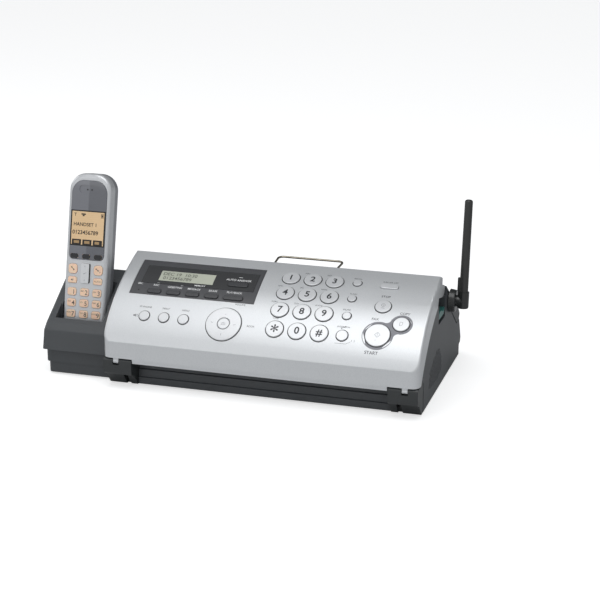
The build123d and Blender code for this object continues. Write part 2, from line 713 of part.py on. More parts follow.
def gear_face(teeth, phase):
    """Draw a spur gear's toothed outline, with a tooth centred at the angle phase in degrees."""
    pitch_radius = teeth * gear_module / 2
    half_pitch = 90.0 / teeth
    slack = degrees(backlash / 2 / pitch_radius)
    points = []
    for tooth in range(teeth):
        centre = phase + tooth * 360.0 / teeth
        for offset, radius in [
            (-1.62 * half_pitch + slack, pitch_radius - gear_root),
            (-0.52 * half_pitch + slack, pitch_radius + gear_tip),
            (0.52 * half_pitch - slack, pitch_radius + gear_tip),
            (1.62 * half_pitch - slack, pitch_radius - gear_root),
        ]:
            angle = radians(centre + offset)
            points.append((radius * cos(angle), radius * sin(angle)))
    Polygon(*points, align=None)


def meshed_phase(driver_teeth, driver_phase, driven_teeth, direction):
    """Phase that puts a gap of the driven gear where the driver has a tooth."""
    place = (direction - driver_phase) * driver_teeth / 360.0
    return direction + 180.0 - (0.5 - place) * 360.0 / driven_teeth


feed_phase = meshed_phase(platen_teeth, 0, feed_teeth, degrees(feed_angle))
takeup_phase = meshed_phase(platen_teeth, 0, takeup_teeth, degrees(takeup_angle))
pinion_phase = meshed_phase(platen_teeth, 0, pinion_teeth, degrees(pinion_angle))


def turning_piece(place, radius, teeth, phase, name):
    """Rubber roller or film roll on its shaft, with the gear that drives it."""
    with BuildPart() as piece:
        with BuildSketch(side) as shaft:
            with Locations(place):
                Circle(shaft_radius)
        reach = gear_plane + gear_width if teeth else frame_side + frame_wall + 1.5
        extrude(shaft.sketch, amount=frame_side + frame_wall + 1.5)
        extrude(shaft.sketch, amount=-reach)
        with BuildSketch(side) as roll:
            with Locations(place):
                Circle(radius)
        extrude(roll.sketch, amount=roller_half, both=True)
        if teeth:
            with BuildSketch(side.offset(-gear_plane)) as gear:
                with Locations(place):
                    gear_face(teeth, phase)
            extrude(gear.sketch, amount=-gear_width)
    write(piece.part, name)


turning_piece(platen_at, platen_radius, platen_teeth, 0, "platen_roller")
turning_piece(feed_at, feed_radius, feed_teeth, feed_phase, "feed_roller")
turning_piece(takeup_at, takeup_radius, takeup_teeth, takeup_phase, "film_takeup_roll")
turning_piece(supply_at, supply_radius, 0, 0, "film_supply_roll")

motor_shaft = 2.0
motor_face = gear_plane + gear_width + 2.0
with BuildPart() as motor_pinion:
    with BuildSketch(side.offset(-gear_plane)) as pinion:
        with Locations(pinion_at):
            gear_face(pinion_teeth, pinion_phase)
    extrude(pinion.sketch, amount=-gear_width)
    with BuildSketch(side.offset(-gear_plane)) as shaft:
        with Locations(pinion_at):
            Circle(motor_shaft)
    extrude(shaft.sketch, amount=-gear_width - 12)
write(motor_pinion.part, "motor_pinion")

with BuildPart() as drive_motor:
    with BuildSketch(side.offset(-motor_face)):
        with Locations(pinion_at):
            Circle(17.5)
    extrude(amount=-20.0)
    fillet(drive_motor.edges().group_by(Axis.X)[0], 2.0)
    with BuildSketch(side.offset(-motor_face)):
        with Locations((pinion_at[0] + 4, pinion_at[1] - 12)):
            Rectangle(30, 2 * (pinion_at[1] - 12 - base_low - wall))
    extrude(amount=-2.0)
    with BuildSketch(side.offset(-motor_face)):
        with Locations(pinion_at):
            Circle(motor_shaft + running_gap)
    extrude(amount=-14.0, mode=Mode.SUBTRACT)
write(drive_motor.part, "drive_motor")

print_gap = 0.5              # print head and sensor clear their rollers by this much
head_top = platen_at[1] - platen_radius - print_gap
with BuildPart() as thermal_head:
    with BuildSketch(side):
        with Locations((platen_at[0], head_top - 2.0)):
            Rectangle(18, 4)
        with Locations((platen_at[0], head_top - 6.0)):
            Rectangle(26, 4)
    extrude(amount=roller_half - 4, both=True)
write(thermal_head.part, "thermal_head")

sensor_top = feed_at[1] - feed_radius - print_gap
with BuildPart() as image_sensor:
    with BuildSketch(side):
        with Locations((feed_at[0], sensor_top - 5.0)):
            Rectangle(15, 10)
    extrude(amount=roller_half - 4, both=True)
    chamfer(image_sensor.edges().filter_by(Axis.X).group_by(Axis.Z)[-1], 1.5)
write(image_sensor.part, "image_sensor")

board_up = base_low + wall + 5.0
with BuildPart() as main_board:
    with BuildSketch(plan.offset(board_up)):
        with Locations((0, 160)):
            Rectangle(2 * frame_side - 8, 84)
        for across in (*jack_across, inlet_across):
            with Locations((across * 0.96, 194)):
                Rectangle(24, 30)
    extrude(amount=1.6)
    # jacks and power inlet behind their openings, chips and capacitors
    with BuildSketch(plan.offset(board_up)):
        with Locations(*[(across, jack_back - 12) for across in jack_across]):
            Rectangle(12.0, 16.0)
        with Locations((inlet_across, jack_back - 12)):
            Rectangle(21.0, 16.0)
    extrude(amount=jack_up + 5.5 - board_up)
    with BuildSketch(front.offset(-jack_back + 4.0)):
        with Locations(*[(across, jack_up) for across in jack_across]):
            Rectangle(9.8, 7.6)
        with Locations((inlet_across, jack_up)):
            RectangleRounded(16.0, 8.0, 3.9)
    extrude(amount=9.0, mode=Mode.SUBTRACT)
    with BuildSketch(plan.offset(board_up + 1.6)):
        with GridLocations(44, 34, 4, 2):
            with Locations((0, 160)):
                Rectangle(20, 14)
    extrude(amount=2.6)
    with BuildSketch(plan.offset(board_up + 1.6)):
        with Locations((92, 178), (92, 192), (76, 184)):
            Circle(5.0)
    extrude(amount=15.0)
write(main_board.part, "main_board")

with BuildPart() as speaker:
    speaker_face = flank - wall - 0.6
    with BuildSketch(side.offset(speaker_face)):
        with Locations(grille_middle):
            Circle(24.0)
    extrude(amount=-3.0)
    with BuildSketch(side.offset(speaker_face - 3.0)):
        with Locations(grille_middle):
            Circle(21.0)
    extrude(amount=-8.0, taper=30)
    with BuildSketch(side.offset(speaker_face - 11.0)):
        with Locations(grille_middle):
            Circle(12.0)
    extrude(amount=-7.0)
    with BuildSketch(side.offset(speaker_face)):
        with Locations(grille_middle):
            Circle(20.0)
    extrude(amount=-3.0, taper=35, mode=Mode.SUBTRACT)
write(speaker.part, "speaker")

feet = [(-150, 40), (150, 40), (-150, 196), (150, 196), (-232, 44), (-232, 106)]
with BuildPart() as rubber_feet:
    with BuildSketch(plan):
        with Locations(*feet):
            Circle(6.0)
    extrude(amount=base_low)
    fillet(rubber_feet.edges().group_by(Axis.Z)[0], 0.6)
write(rubber_feet.part, "rubber_feet")

# ---- handset cradle -----------------------------------------------------------------------------
tilt = radians(handset_lean)
handset_plane = Plane(
    origin=(unit_x + handset_at[0], front_y + handset_at[1], handset_at[2]),
    x_dir=(1, 0, 0),
    z_dir=(0, -cos(tilt), sin(tilt)),
)
cradle_right = -half - cradle_gap
cradle_middle = cradle_right - cradle_width / 2
handset_thick = handset_front + handset_back
with BuildPart() as cradle_housing:
    with BuildSketch(side.offset(cradle_middle)):
        Polygon((19.0, 31.0), (24.4, 52.6), (32.3, 59.6), (51.5, 71.5), (77.5, 88.0), (92.0, 97.0),
                (118.0, 99.0), (124.0, 94.0), (126.0, 31.0), align=None)
    extrude(amount=cradle_width / 2, both=True)
    fillet(cradle_housing.edges().filter_by(Axis.X).group_by(Axis.Z)[1:-1], 3.0)
    outer_left = [
        face for face in cradle_housing.faces().filter_by(Axis.X).sort_by(Axis.X)[:1]
    ]
    fillet([edge for face in outer_left for edge in face.edges() if edge.center().Z > 32], 4.0)
    # lower body, stepped in twice
    for low, high, step_in in [(15.0, 31.4, 1.8), (base_low, 15.4, 3.6)]:
        with BuildSketch(plan.offset(low)) as step:
            left = cradle_right - cradle_width + step_in
            with Locations(((left + cradle_right) / 2, (23.5 + step_in + 124.0) / 2)):
                Rectangle(cradle_right - left, 124.0 - 23.5 - step_in)
            fillet(step.vertices().group_by(Axis.X)[0], 5.0)
        extrude(amount=high - low)
    # pocket for the handset and the wider mouth in front of it
    with BuildSketch(handset_plane.offset(pocket_gap)):
        with Locations((0, 60.0 - pocket_gap)):
            Rectangle(handset_width + 2 * pocket_gap, 120.0)
    extrude(amount=-handset_thick - 2 * pocket_gap, mode=Mode.SUBTRACT)
    with BuildSketch(side.offset(handset_at[0])):
        Polygon((37.6, 66.0), (37.6, 58.0), (42.5, 48.0), (50.0, 47.0), (62.0, 110.0), align=None)
    extrude(amount=handset_width / 2 + 3.4, both=True, mode=Mode.SUBTRACT)
write(cradle_housing.part, "cradle_housing")

# ---- handset ------------------------------------------------------------------------------------
handset_keys = [("soft", across, 87.6, 8.6, 4.6) for across in (-14.2, 0, 14.2)]
handset_keys += [("dial", column * 15.0, 10.4 + row * 12.35, 10.4, 8.6)
                 for row in range(4) for column in (-1, 0, 1)]
handset_keys += [("talk", -15.2, 73.0, 10.4, 10.8), ("off", 15.2, 73.0, 10.4, 10.8)]
handset_keys += [("speaker", -15.2, 60.6, 10.4, 7.0), ("recall", 15.2, 60.6, 10.4, 7.0)]
handset_keys += [("nav", 0, 68.8, 10.6, 21.6)]
lens_low, lens_high, lens_width = 83.6, 172.6, 42.4


def handset_outline(depth):
    """Outline of the handset, some depth behind its front plane."""
    with BuildSketch(handset_plane.offset(-depth)) as outline:
        with Locations((0, handset_length / 2)):
            Rectangle(handset_width, handset_length)
        fillet(outline.vertices().group_by(Axis.Y)[-1], 19.0)
        fillet(outline.vertices().group_by(Axis.Y)[0], 12.0)
    return outline.sketch


def lens_outline(inset):
    """Draw the lens: tight corners below, and rounded above like the handset itself."""
    lower, upper, reach = lens_low + inset, lens_high - inset, lens_width / 2 - inset
    for end, corner in [(lower, 6.0), (upper, 15.0)]:
        inward = 1 if end == lower else -1
        with Locations((0, end + inward * corner)):
            SlotCenterToCenter(2 * (reach - corner), 2 * corner)
    with Locations((0, (lower + 6.0 + upper - 15.0) / 2)):
        Rectangle(2 * reach, upper - 15.0 - lower - 6.0)


def key_block(keys_wanted, grow):
    """Rounded rectangles of the handset's keys on its front plane."""
    with BuildSketch(handset_plane) as blocks:
        for _, across, up, width, height in keys_wanted:
            with Locations((across, up)):
                RectangleRounded(width + 2 * grow, height + 2 * grow, min(width, height) / 2 - 1.8 + grow)
    return blocks.sketch


with BuildPart() as handset_front_shell:
    extrude(handset_outline(0), amount=-handset_front)
    face_edges = [
        edge for edge in handset_front_shell.edges()
        if abs(handset_plane.to_local_coords(edge.center()).Z) < 0.1
    ]
    fillet(face_edges, 4.5)
    with BuildSketch(handset_plane):
        lens_outline(0)
    extrude(amount=-1.6, mode=Mode.SUBTRACT)
    extrude(key_block(handset_keys[3:], 0.35), amount=-2.0, mode=Mode.SUBTRACT)
write(handset_front_shell.part, "handset_front_shell")

with BuildPart() as handset_back_shell:
    extrude(handset_outline(handset_front), amount=-handset_back)
    back_edges = [
        edge for edge in handset_back_shell.edges()
        if abs(handset_plane.to_local_coords(edge.center()).Z + handset_thick) < 0.1
    ]
    fillet(back_edges, 8.0)
write(handset_back_shell.part, "handset_back_shell")

with BuildPart() as handset_lens:
    with BuildSketch(handset_plane.offset(-1.5)):
        lens_outline(0.2)
    extrude(amount=2.1)
    lens_edges = [
        edge for edge in handset_lens.edges()
        if handset_plane.to_local_coords(edge.center()).Z > 0.5
    ]
    fillet(lens_edges, 0.6)
    # earpiece hollow and the soft keys' openings
    with BuildSketch(handset_plane):
        with Locations((0, 162.4)):
            RectangleRounded(24.0, 9.0, 4.0)
    extrude(amount=2, mode=Mode.SUBTRACT)
    extrude(key_block(handset_keys[:3], 0.35), amount=4, both=True, mode=Mode.SUBTRACT)
write(handset_lens.part, "handset_lens")

with BuildPart() as handset_keymat:
    extrude(key_block(handset_keys[:3], 0), amount=1.0)
    extrude(key_block(handset_keys[:3], 0), amount=-1.5)
    extrude(key_block(handset_keys[3:], 0), amount=0.9)
    extrude(key_block(handset_keys[3:], 0), amount=-1.9)
    top_edges = [
        edge for edge in handset_keymat.edges()
        if handset_plane.to_local_coords(edge.center()).Z > 0.5
    ]
    fillet(top_edges, 0.5)
write(handset_keymat.part, "handset_keymat")
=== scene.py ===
import json
import math

import bpy
from mathutils import Matrix, Vector

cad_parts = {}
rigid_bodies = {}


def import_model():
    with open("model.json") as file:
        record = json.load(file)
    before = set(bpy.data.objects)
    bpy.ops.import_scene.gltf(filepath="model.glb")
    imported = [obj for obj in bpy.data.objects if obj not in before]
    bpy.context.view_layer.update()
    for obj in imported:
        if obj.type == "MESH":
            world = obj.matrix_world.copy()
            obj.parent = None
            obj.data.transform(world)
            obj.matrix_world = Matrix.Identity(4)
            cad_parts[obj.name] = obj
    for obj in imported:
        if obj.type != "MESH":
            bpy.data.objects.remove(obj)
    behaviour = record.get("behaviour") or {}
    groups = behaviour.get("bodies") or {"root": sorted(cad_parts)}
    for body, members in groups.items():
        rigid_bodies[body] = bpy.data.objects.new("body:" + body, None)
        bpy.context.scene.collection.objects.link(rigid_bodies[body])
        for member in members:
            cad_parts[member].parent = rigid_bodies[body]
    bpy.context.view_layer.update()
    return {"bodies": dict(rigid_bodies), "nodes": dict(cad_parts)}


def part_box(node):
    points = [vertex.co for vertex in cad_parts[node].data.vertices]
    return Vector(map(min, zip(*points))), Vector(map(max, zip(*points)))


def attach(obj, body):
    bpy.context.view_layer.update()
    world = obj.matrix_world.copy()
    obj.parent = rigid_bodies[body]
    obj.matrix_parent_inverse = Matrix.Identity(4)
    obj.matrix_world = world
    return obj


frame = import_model()
nodes = frame["nodes"]
bpy.ops.object.select_all(action="DESELECT")
MM = 0.001

# Camera: stands a little to the right of the machine and above it, with a long lens.
scene = bpy.context.scene
eye = (0.5412, -1.6813, 0.6513)
turn, drop, roll = 16.48, 17.92, -0.10
bpy.ops.object.camera_add(
    location=eye, rotation=(math.radians(90 - drop), math.radians(roll), math.radians(turn))
)
camera = bpy.context.object
camera.data.lens = 99.53
camera.data.clip_end = 20
scene.camera = camera
scene.view_settings.view_transform = "Standard"
scene.view_settings.look = "None"


def linear(colour):
    """Linear RGBA of an sRGB hex colour."""
    parts = [int(colour[i:i + 2], 16) / 255 for i in (1, 3, 5)]
    return [p / 12.92 if p <= 0.04045 else ((p + 0.055) / 1.055) ** 2.4 for p in parts] + [1.0]


def add_node(tree, kind, links=(), **settings):
    """One shader node, its socket values and properties set, and its inputs linked."""
    node = tree.nodes.new(kind)
    for name, value in settings.items():
        socket = name.replace("_", " ").title() if name[0].islower() else name
        if hasattr(node, name):
            setattr(node, name, value)
        else:
            node.inputs[socket].default_value = value
    for source, socket in links:
        tree.links.new(source, node.inputs[socket])
    return node


def new_material(name, **settings):
    """A material with one Principled shader, its plain values set on the shader itself."""
    made = bpy.data.materials.new(name)
    made.use_nodes = True
    shader = made.node_tree.nodes["Principled BSDF"]
    for socket, value in settings.items():
        shader.inputs[socket.replace("_", " ")].default_value = value
    return made, made.node_tree, shader


def tint(tree, shader, pattern, low_colour, high_colour):
    """Base colour that runs from one hex colour to another with a pattern."""
    tone = add_node(tree, "ShaderNodeValToRGB", [(pattern, "Fac")])
    tone.color_ramp.elements[0].color = linear(low_colour)
    tone.color_ramp.elements[1].color = linear(high_colour)
    tree.links.new(tone.outputs["Color"], shader.inputs["Base Color"])
    return tone


def roughen(tree, shader, pattern, low, high):
    """Roughness that runs between two values with a pattern."""
    rough = add_node(tree, "ShaderNodeMapRange", [(pattern, "Value")], to_min=low, to_max=high)
    tree.links.new(rough.outputs["Result"], shader.inputs["Roughness"])


def raise_grain(tree, shader, pattern, strength, depth_mm):
    """Relief that follows a pattern, with its full depth in millimetres."""
    bump = add_node(
        tree, "ShaderNodeBump", [(pattern, "Height")], strength=strength, distance=depth_mm * MM
    )
    tree.links.new(bump.outputs["Normal"], shader.inputs["Normal"])


# The table: a plain pale sweep, seen only around and under the machine.
bpy.ops.mesh.primitive_plane_add(size=8, location=(0, 0, 0))
table = bpy.context.object
table.name = "table"
table_top, table_tree, table_shader = new_material("table_top_white", Roughness=0.55)
table_shader.inputs["Base Color"].default_value = linear("#D3D4D5")
table_shader.inputs["Emission Color"].default_value = linear("#FFFFFF")
seen = add_node(table_tree, "ShaderNodeLightPath")
lift = add_node(
    table_tree, "ShaderNodeMath", [(seen.outputs["Is Camera Ray"], 0)], operation="MULTIPLY"
)
lift.inputs[1].default_value = 0.62      # the sweep is lit from below, for the lens only
table_tree.links.new(lift.outputs["Value"], table_shader.inputs["Emission Strength"])
table.data.materials.append(table_top)

# Soft studio light: a large overhead box, a front fill and a weaker one from the left.
world = bpy.data.worlds.new("studio")
scene.world = world
world.use_nodes = True
sky = world.node_tree
aim = add_node(sky, "ShaderNodeTexCoord")
parts = add_node(sky, "ShaderNodeSeparateXYZ", [(aim.outputs["Generated"], "Vector")])
rearward = add_node(
    sky, "ShaderNodeMapRange", [(parts.outputs["Y"], "Value")], from_min=-0.2, from_max=0.6
)
fade = add_node(sky, "ShaderNodeValToRGB", [(rearward.outputs["Result"], "Fac")])
fade.color_ramp.elements[0].color = linear("#F4F5F6")
fade.color_ramp.elements[1].color = linear("#6E7072")
sky.links.new(fade.outputs["Color"], sky.nodes["Background"].inputs["Color"])
sky.nodes["Background"].inputs["Strength"].default_value = 0.75
for name, place, aim, size, power in [
    ("overhead_box", (0.05, -0.55, 1.9), (0, 0.0, 0.1), 1.5, 15),
    ("front_fill", (-0.9, -2.2, 1.1), (0, 0, 0.1), 1.0, 2.5),
    ("left_edge", (-1.9, 0.3, 0.9), (0, 0, 0.1), 0.9, 5),
]:
    bpy.ops.object.light_add(type="AREA", location=place)
    lamp = bpy.context.object
    lamp.name = name
    lamp.data.shape = "SQUARE"
    lamp.data.size = size
    lamp.data.energy = power
    lamp.rotation_euler = (Vector(aim) - Vector(place)).to_track_quat("-Z", "Y").to_euler()


# Cabinet: injection-moulded ABS in charcoal, spark-eroded to a fine matt texture. The same
# moulding material makes the cabinet, the back cover and the handset cradle.
def moulded(name, colour, roughness, grain_mm, depth_mm, mottling):
    """Textured moulded plastic: a fine grain in the surface and a faint unevenness in the tone."""
    made, tree, shader = new_material(name, Roughness=roughness, IOR=1.53)
    place = add_node(tree, "ShaderNodeTexCoord")
    grain = add_node(
        tree, "ShaderNodeTexNoise", [(place.outputs["Object"], "Vector")],
        scale=1 / (grain_mm * MM), detail=2.0,
    )
    cloud = add_node(
        tree, "ShaderNodeTexNoise", [(place.outputs["Object"], "Vector")], scale=22.0, detail=3.0,
    )
    tone = add_node(tree, "ShaderNodeValToRGB", [(cloud.outputs["Fac"], "Fac")])
    base = linear(colour)
    tone.color_ramp.elements[0].position = 0.3
    tone.color_ramp.elements[1].position = 0.7
    tone.color_ramp.elements[0].color = [c * (1 - mottling) for c in base[:3]] + [1]
    tone.color_ramp.elements[1].color = [c * (1 + mottling) for c in base[:3]] + [1]
    tree.links.new(tone.outputs["Color"], shader.inputs["Base Color"])
    roughen(tree, shader, grain.outputs["Fac"], roughness - 0.06, roughness + 0.06)
    raise_grain(tree, shader, grain.outputs["Fac"], 0.35, depth_mm)
    return made


def dress(names, material):
    """Give CAD nodes their finish."""
    for name in names:
        nodes[name].data.materials.clear()
        nodes[name].data.materials.append(material)


charcoal_abs = moulded("charcoal_abs_spark_textured", "#404346", 0.46, 0.55, 0.05, 0.06)
dress(["base_cabinet", "back_cover", "cradle_housing"], charcoal_abs)
guide_abs = moulded("dark_abs_guides", "#54575A", 0.42, 0.5, 0.04, 0.05)
dress(["document_guide_left", "document_guide_right"], guide_abs)

# Corner brackets and document tray: black ABS, a little glossier than the cabinet.
black_abs = moulded("black_abs_fine_texture", "#2C2F30", 0.38, 0.45, 0.03, 0.05)
dress(["corner_brackets", "document_tray", "image_sensor"], black_abs)

# Front cover: ABS sprayed with silver paint. Fine aluminium flakes make it brighten towards
# the light and a thin lacquer over them gives a soft, wide highlight.
silver_paint, tree, shader = new_material(
    "silver_spray_paint", Metallic=0.55, IOR=1.5, Coat_Weight=0.25, Coat_Roughness=0.25
)
place = add_node(tree, "ShaderNodeTexCoord")
flake_mm = 0.5      # real flakes are far finer; drawn coarse enough to show
flakes = add_node(
    tree, "ShaderNodeTexVoronoi", [(place.outputs["Object"], "Vector")], scale=1 / (flake_mm * MM)
)
spray = add_node(
    tree, "ShaderNodeTexNoise", [(place.outputs["Object"], "Vector")], scale=14.0, detail=4.0
)
tint(tree, shader, flakes.outputs["Distance"], "#D8DADC", "#C6C9CC")
roughen(tree, shader, spray.outputs["Fac"], 0.34, 0.42)
raise_grain(tree, shader, flakes.outputs["Distance"], 0.12, 0.02)
dress(["front_cover"], silver_paint)

# The cover's slope is three tangent arcs rolled from its front edge up to the ridge; whatever
# is printed or set on it follows them.
cover_low, cover_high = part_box("front_cover")
unit_x = (cover_low.x + cover_high.x) / 2
front_y = cover_low.y
slope_edge_z = 55.3 * MM
first_slope = 61.6
slope_arcs = [(102.5 * MM, 18.0), (166.7 * MM, 16.7), (283.7 * MM, 10.3)]


def on_slope(across, along, lift):
    """Point above the slope: across from the unit's middle, along it from its front edge."""
    y, z, slope = front_y, slope_edge_z, first_slope
    for radius, swept in slope_arcs:
        step = min(along, radius * math.radians(swept))
        angle = math.degrees(step / radius)
        chord = 2 * radius * math.sin(math.radians(angle / 2))
        y += chord * math.cos(math.radians(slope - angle / 2))
        z += chord * math.sin(math.radians(slope - angle / 2))
        slope -= angle
        along -= step
    slope = math.radians(slope)
    return Vector((unit_x + across, y - lift * math.sin(slope), z + lift * math.cos(slope)))


def lay_on_slope(piece, across, along, lift):
    """Wrap a flat piece drawn in millimetres about the origin on to the slope."""
    for vertex in piece.data.vertices:
        flat = vertex.co * MM
        vertex.co = on_slope(across * MM + flat.x, along * MM + flat.y, lift * MM + flat.z)
    piece.data.update()


def printed(words, height, bold=0.0):
    """A printed word as a thin closed layer of ink, height in millimetres, about the origin."""
    bpy.ops.object.text_add()
    word = bpy.context.object
    word.data.body = words
    word.data.size = height * 1.38
    word.data.align_x = "CENTER"
    word.data.align_y = "CENTER"
    word.data.extrude = 0.03
    word.data.offset = bold
    word.data.resolution_u = 4
    bpy.ops.object.convert(target="MESH")
    return bpy.context.object


def join_as(pieces, name):
    """Join pieces into one mesh with its own name."""
    bpy.ops.object.select_all(action="DESELECT")
    for piece in pieces:
        piece.select_set(True)
    bpy.context.view_layer.objects.active = pieces[0]
    if len(pieces) > 1:
        bpy.ops.object.join()
    joined = bpy.context.object
    joined.name = name
    joined.data.name = name
    bpy.ops.object.select_all(action="DESELECT")
    return joined


def ink(name, colour):
    """Screen-printed ink: flat, slightly rough, a little uneven where the screen laid it."""
    made, tree, shader = new_material(name, IOR=1.5)
    place = add_node(tree, "ShaderNodeTexCoord")
    screen = add_node(
        tree, "ShaderNodeTexNoise", [(place.outputs["Object"], "Vector")], scale=1 / (0.4 * MM)
    )
    tone = add_node(tree, "ShaderNodeValToRGB", [(screen.outputs["Fac"], "Fac")])
    base = linear(colour)
    tone.color_ramp.elements[0].color = [c * 0.9 for c in base[:3]] + [1]
    tone.color_ramp.elements[1].color = [c * 1.1 for c in base[:3]] + [1]
    tree.links.new(tone.outputs["Color"], shader.inputs["Base Color"])
    roughen(tree, shader, screen.outputs["Fac"], 0.42, 0.56)
    return made


def finish_piece(piece, name, material, body):
    """Name a finished piece, give it its material and set it on its body."""
    piece = join_as([piece], name)
    piece.data.materials.clear()
    piece.data.materials.append(material)
    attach(piece, body)


# Words and letters on the slope: dark grey screen print on the silver paint.
grey_ink = ink("dark_grey_screen_ink", "#4A4C50")
dial_middle, dial_pitch = 39.0, 24.57
dial_rows = [105.1, 80.8, 56.5, 32.2]
start_at, copy_at, stop_at = (125.9, 36.6), (148.3, 52.3), (124.3, 74.0)
ring_at = (-42.8, 32.4)
labels = []
letters = ["", "ABC", "DEF", "GHI", "JKL", "MNO", "PQRS", "TUV", "WXYZ"]
for index, group in enumerate(letters):
    if group:
        across = dial_middle + (index % 3 - 1) * dial_pitch - 8.6
        labels.append((group, across, dial_rows[index // 3] + 10.6, 2.0, 0.0))
labels += [
    ("MENU", -88.8, 44.0, 2.2, 0), ("PRINT", -111.2, 44.0, 2.2, 0), ("SP-PHONE", -135.0, 44.0, 2.2, 0),
    ("STOP", 124.0, 89.0, 3.0, 0.05), ("START", 122.6, 16.0, 3.6, 0.06),
    ("COPY", 149.4, 66.6, 3.0, 0.05), ("FAX", 119.4, 56.2, 3.0, 0.05),
    ("MUTE", 86.6, 64.8, 2.4, 0), ("FLASH", 88.4, 88.8, 2.0, 0), ("REDIAL", 87.6, 114.2, 2.0, 0),
    ("CALLER LIST", 124.0, 112.8, 2.2, 0), ("INTERCOM", 88.0, 42.6, 2.0, 0),
    ("VOLUME", -30.4, 58.2, 2.2, 0), ("BOOK", -12.4, 32.4, 2.2, 0), ("TONE", 12.6, 45.0, 1.8, 0),
]
words = []
for text, across, along, height, bold in labels:
    word = printed(text, height, bold)
    lay_on_slope(word, across, along, 0.02)
    words.append(word)
finish_piece(join_as(words, "slope_print"), "slope_print", grey_ink, "front_cover")

# Figures on the dial keys: printed in the middle of each cap.
key_ink = ink("black_key_ink", "#2B2D31")
key_lift = 1.42
signs = {"star": "*", "hash": "#"}
dial_names = [["1", "2", "3"], ["4", "5", "6"], ["7", "8", "9"], ["star", "0", "hash"]]
for row, row_names in enumerate(dial_names):
    for column, digit in enumerate(row_names):
        height = 14.5 if digit == "star" else 8.2
        figure = printed(signs.get(digit, digit), height, 0.24)
        down = -3.6 if digit == "star" else 0.0
        lay_on_slope(figure, dial_middle + (column - 1) * dial_pitch, dial_rows[row] + down, key_lift)
        finish_piece(figure, f"figure_{digit}", key_ink, f"dial_key_{digit}")

# Key caps: ABS in the cover's silver, a shade lighter and smoother from wear.
key_silver, tree, shader = new_material(
    "silver_key_paint", Metallic=0.35, IOR=1.5, Coat_Weight=0.35, Coat_Roughness=0.18
)
place = add_node(tree, "ShaderNodeTexCoord")
flakes = add_node(
    tree, "ShaderNodeTexVoronoi", [(place.outputs["Object"], "Vector")], scale=1 / (flake_mm * MM)
)
tint(tree, shader, flakes.outputs["Distance"], "#D9DBDD", "#CBCDD0")
wear = add_node(
    tree, "ShaderNodeTexNoise", [(place.outputs["Object"], "Vector")], scale=90.0, detail=3.0
)
roughen(tree, shader, wear.outputs["Fac"], 0.26, 0.36)
dark_keys = ["rec_key", "greeting_key", "message_key", "erase_key", "playback_key", "answer_on_key"]
light_keys = [
    name for name, body in frame["bodies"].items()
    if name in nodes and (name.endswith("_key") or name.startswith(("dial_key", "nav_")))
    and name not in dark_keys
]
dress(light_keys, key_silver)

# Bezel and its six bar keys: satin dark grey ABS.
bezel_abs = moulded("satin_grey_bezel_abs", "#47484B", 0.3, 0.4, 0.02, 0.04)
dress(["display_bezel"], bezel_abs)
bar_key_abs = moulded("dark_bar_key_abs", "#3B3C3F", 0.26, 0.4, 0.015, 0.04)
dress(dark_keys, bar_key_abs)

# Start and copy surround: a satin grey painted inlay shaped like an eight around the two keys, let
# into the slope. Two discs, a neck with hollow flanks between them, and a well for each key.
def disc(radius, across, along, height=0.6, corners=96):
    """A flat disc drawn in millimetres on the flat slope."""
    bpy.ops.mesh.primitive_cylinder_add(
        vertices=corners, radius=radius, depth=height, location=(across, along, 0)
    )
    bpy.ops.object.transform_apply(location=True, rotation=True, scale=True)
    return bpy.context.object


def combine(piece, other, operation):
    """Boolean of two pieces; the second is used up."""
    change = piece.modifiers.new("combine", "BOOLEAN")
    change.operation = operation
    change.solver = "EXACT"
    change.object = other
    bpy.ops.object.select_all(action="DESELECT")
    bpy.context.view_layer.objects.active = piece
    piece.select_set(True)
    bpy.ops.object.modifier_apply(modifier=change.name)
    bpy.data.objects.remove(other)


toward_copy = Vector(copy_at) - Vector(start_at)
span = toward_copy.length
start_rim, copy_rim = 16.8, 12.2
surround = disc(start_rim, 0, 0)
combine(surround, disc(copy_rim, span, 0, 0.602), "UNION")
neck_radius = 5.0
to_start, to_copy = start_rim + neck_radius, copy_rim + neck_radius
neck_x = (span ** 2 + to_start ** 2 - to_copy ** 2) / (2 * span)
neck_y = math.sqrt(to_start ** 2 - neck_x ** 2)
bpy.ops.mesh.primitive_cube_add(size=1, location=(neck_x, 0, 0))
neck = bpy.context.object
neck.scale = (9.0, 2 * neck_y - 1.0, 0.604)
bpy.ops.object.transform_apply(location=True, rotation=True, scale=True)
for side in (-1, 1):
    combine(neck, disc(neck_radius, neck_x, side * neck_y, 2), "DIFFERENCE")
combine(surround, neck, "UNION")
combine(surround, disc(13.9, 0, 0, 2), "DIFFERENCE")
combine(surround, disc(9.3, span, 0, 2), "DIFFERENCE")
heading = math.atan2(toward_copy.y, toward_copy.x)
for vertex in surround.data.vertices:
    turned = Matrix.Rotation(heading, 3, "Z") @ vertex.co
    vertex.co = on_slope(
        (start_at[0] + turned.x) * MM, (start_at[1] + turned.y) * MM, (turned.z * 0.2 + 0.02) * MM
    )
surround.data.update()
satin_grey, tree, shader = new_material(
    "grey_satin_inlay_paint", Metallic=0.15, Roughness=0.4, IOR=1.5
)
place = add_node(tree, "ShaderNodeTexCoord")
grain = add_node(
    tree, "ShaderNodeTexNoise", [(place.outputs["Object"], "Vector")], scale=1 / (0.5 * MM)
)
tint(tree, shader, grain.outputs["Fac"], "#727379", "#808187")
finish_piece(surround, "start_copy_surround", satin_grey, "front_cover")


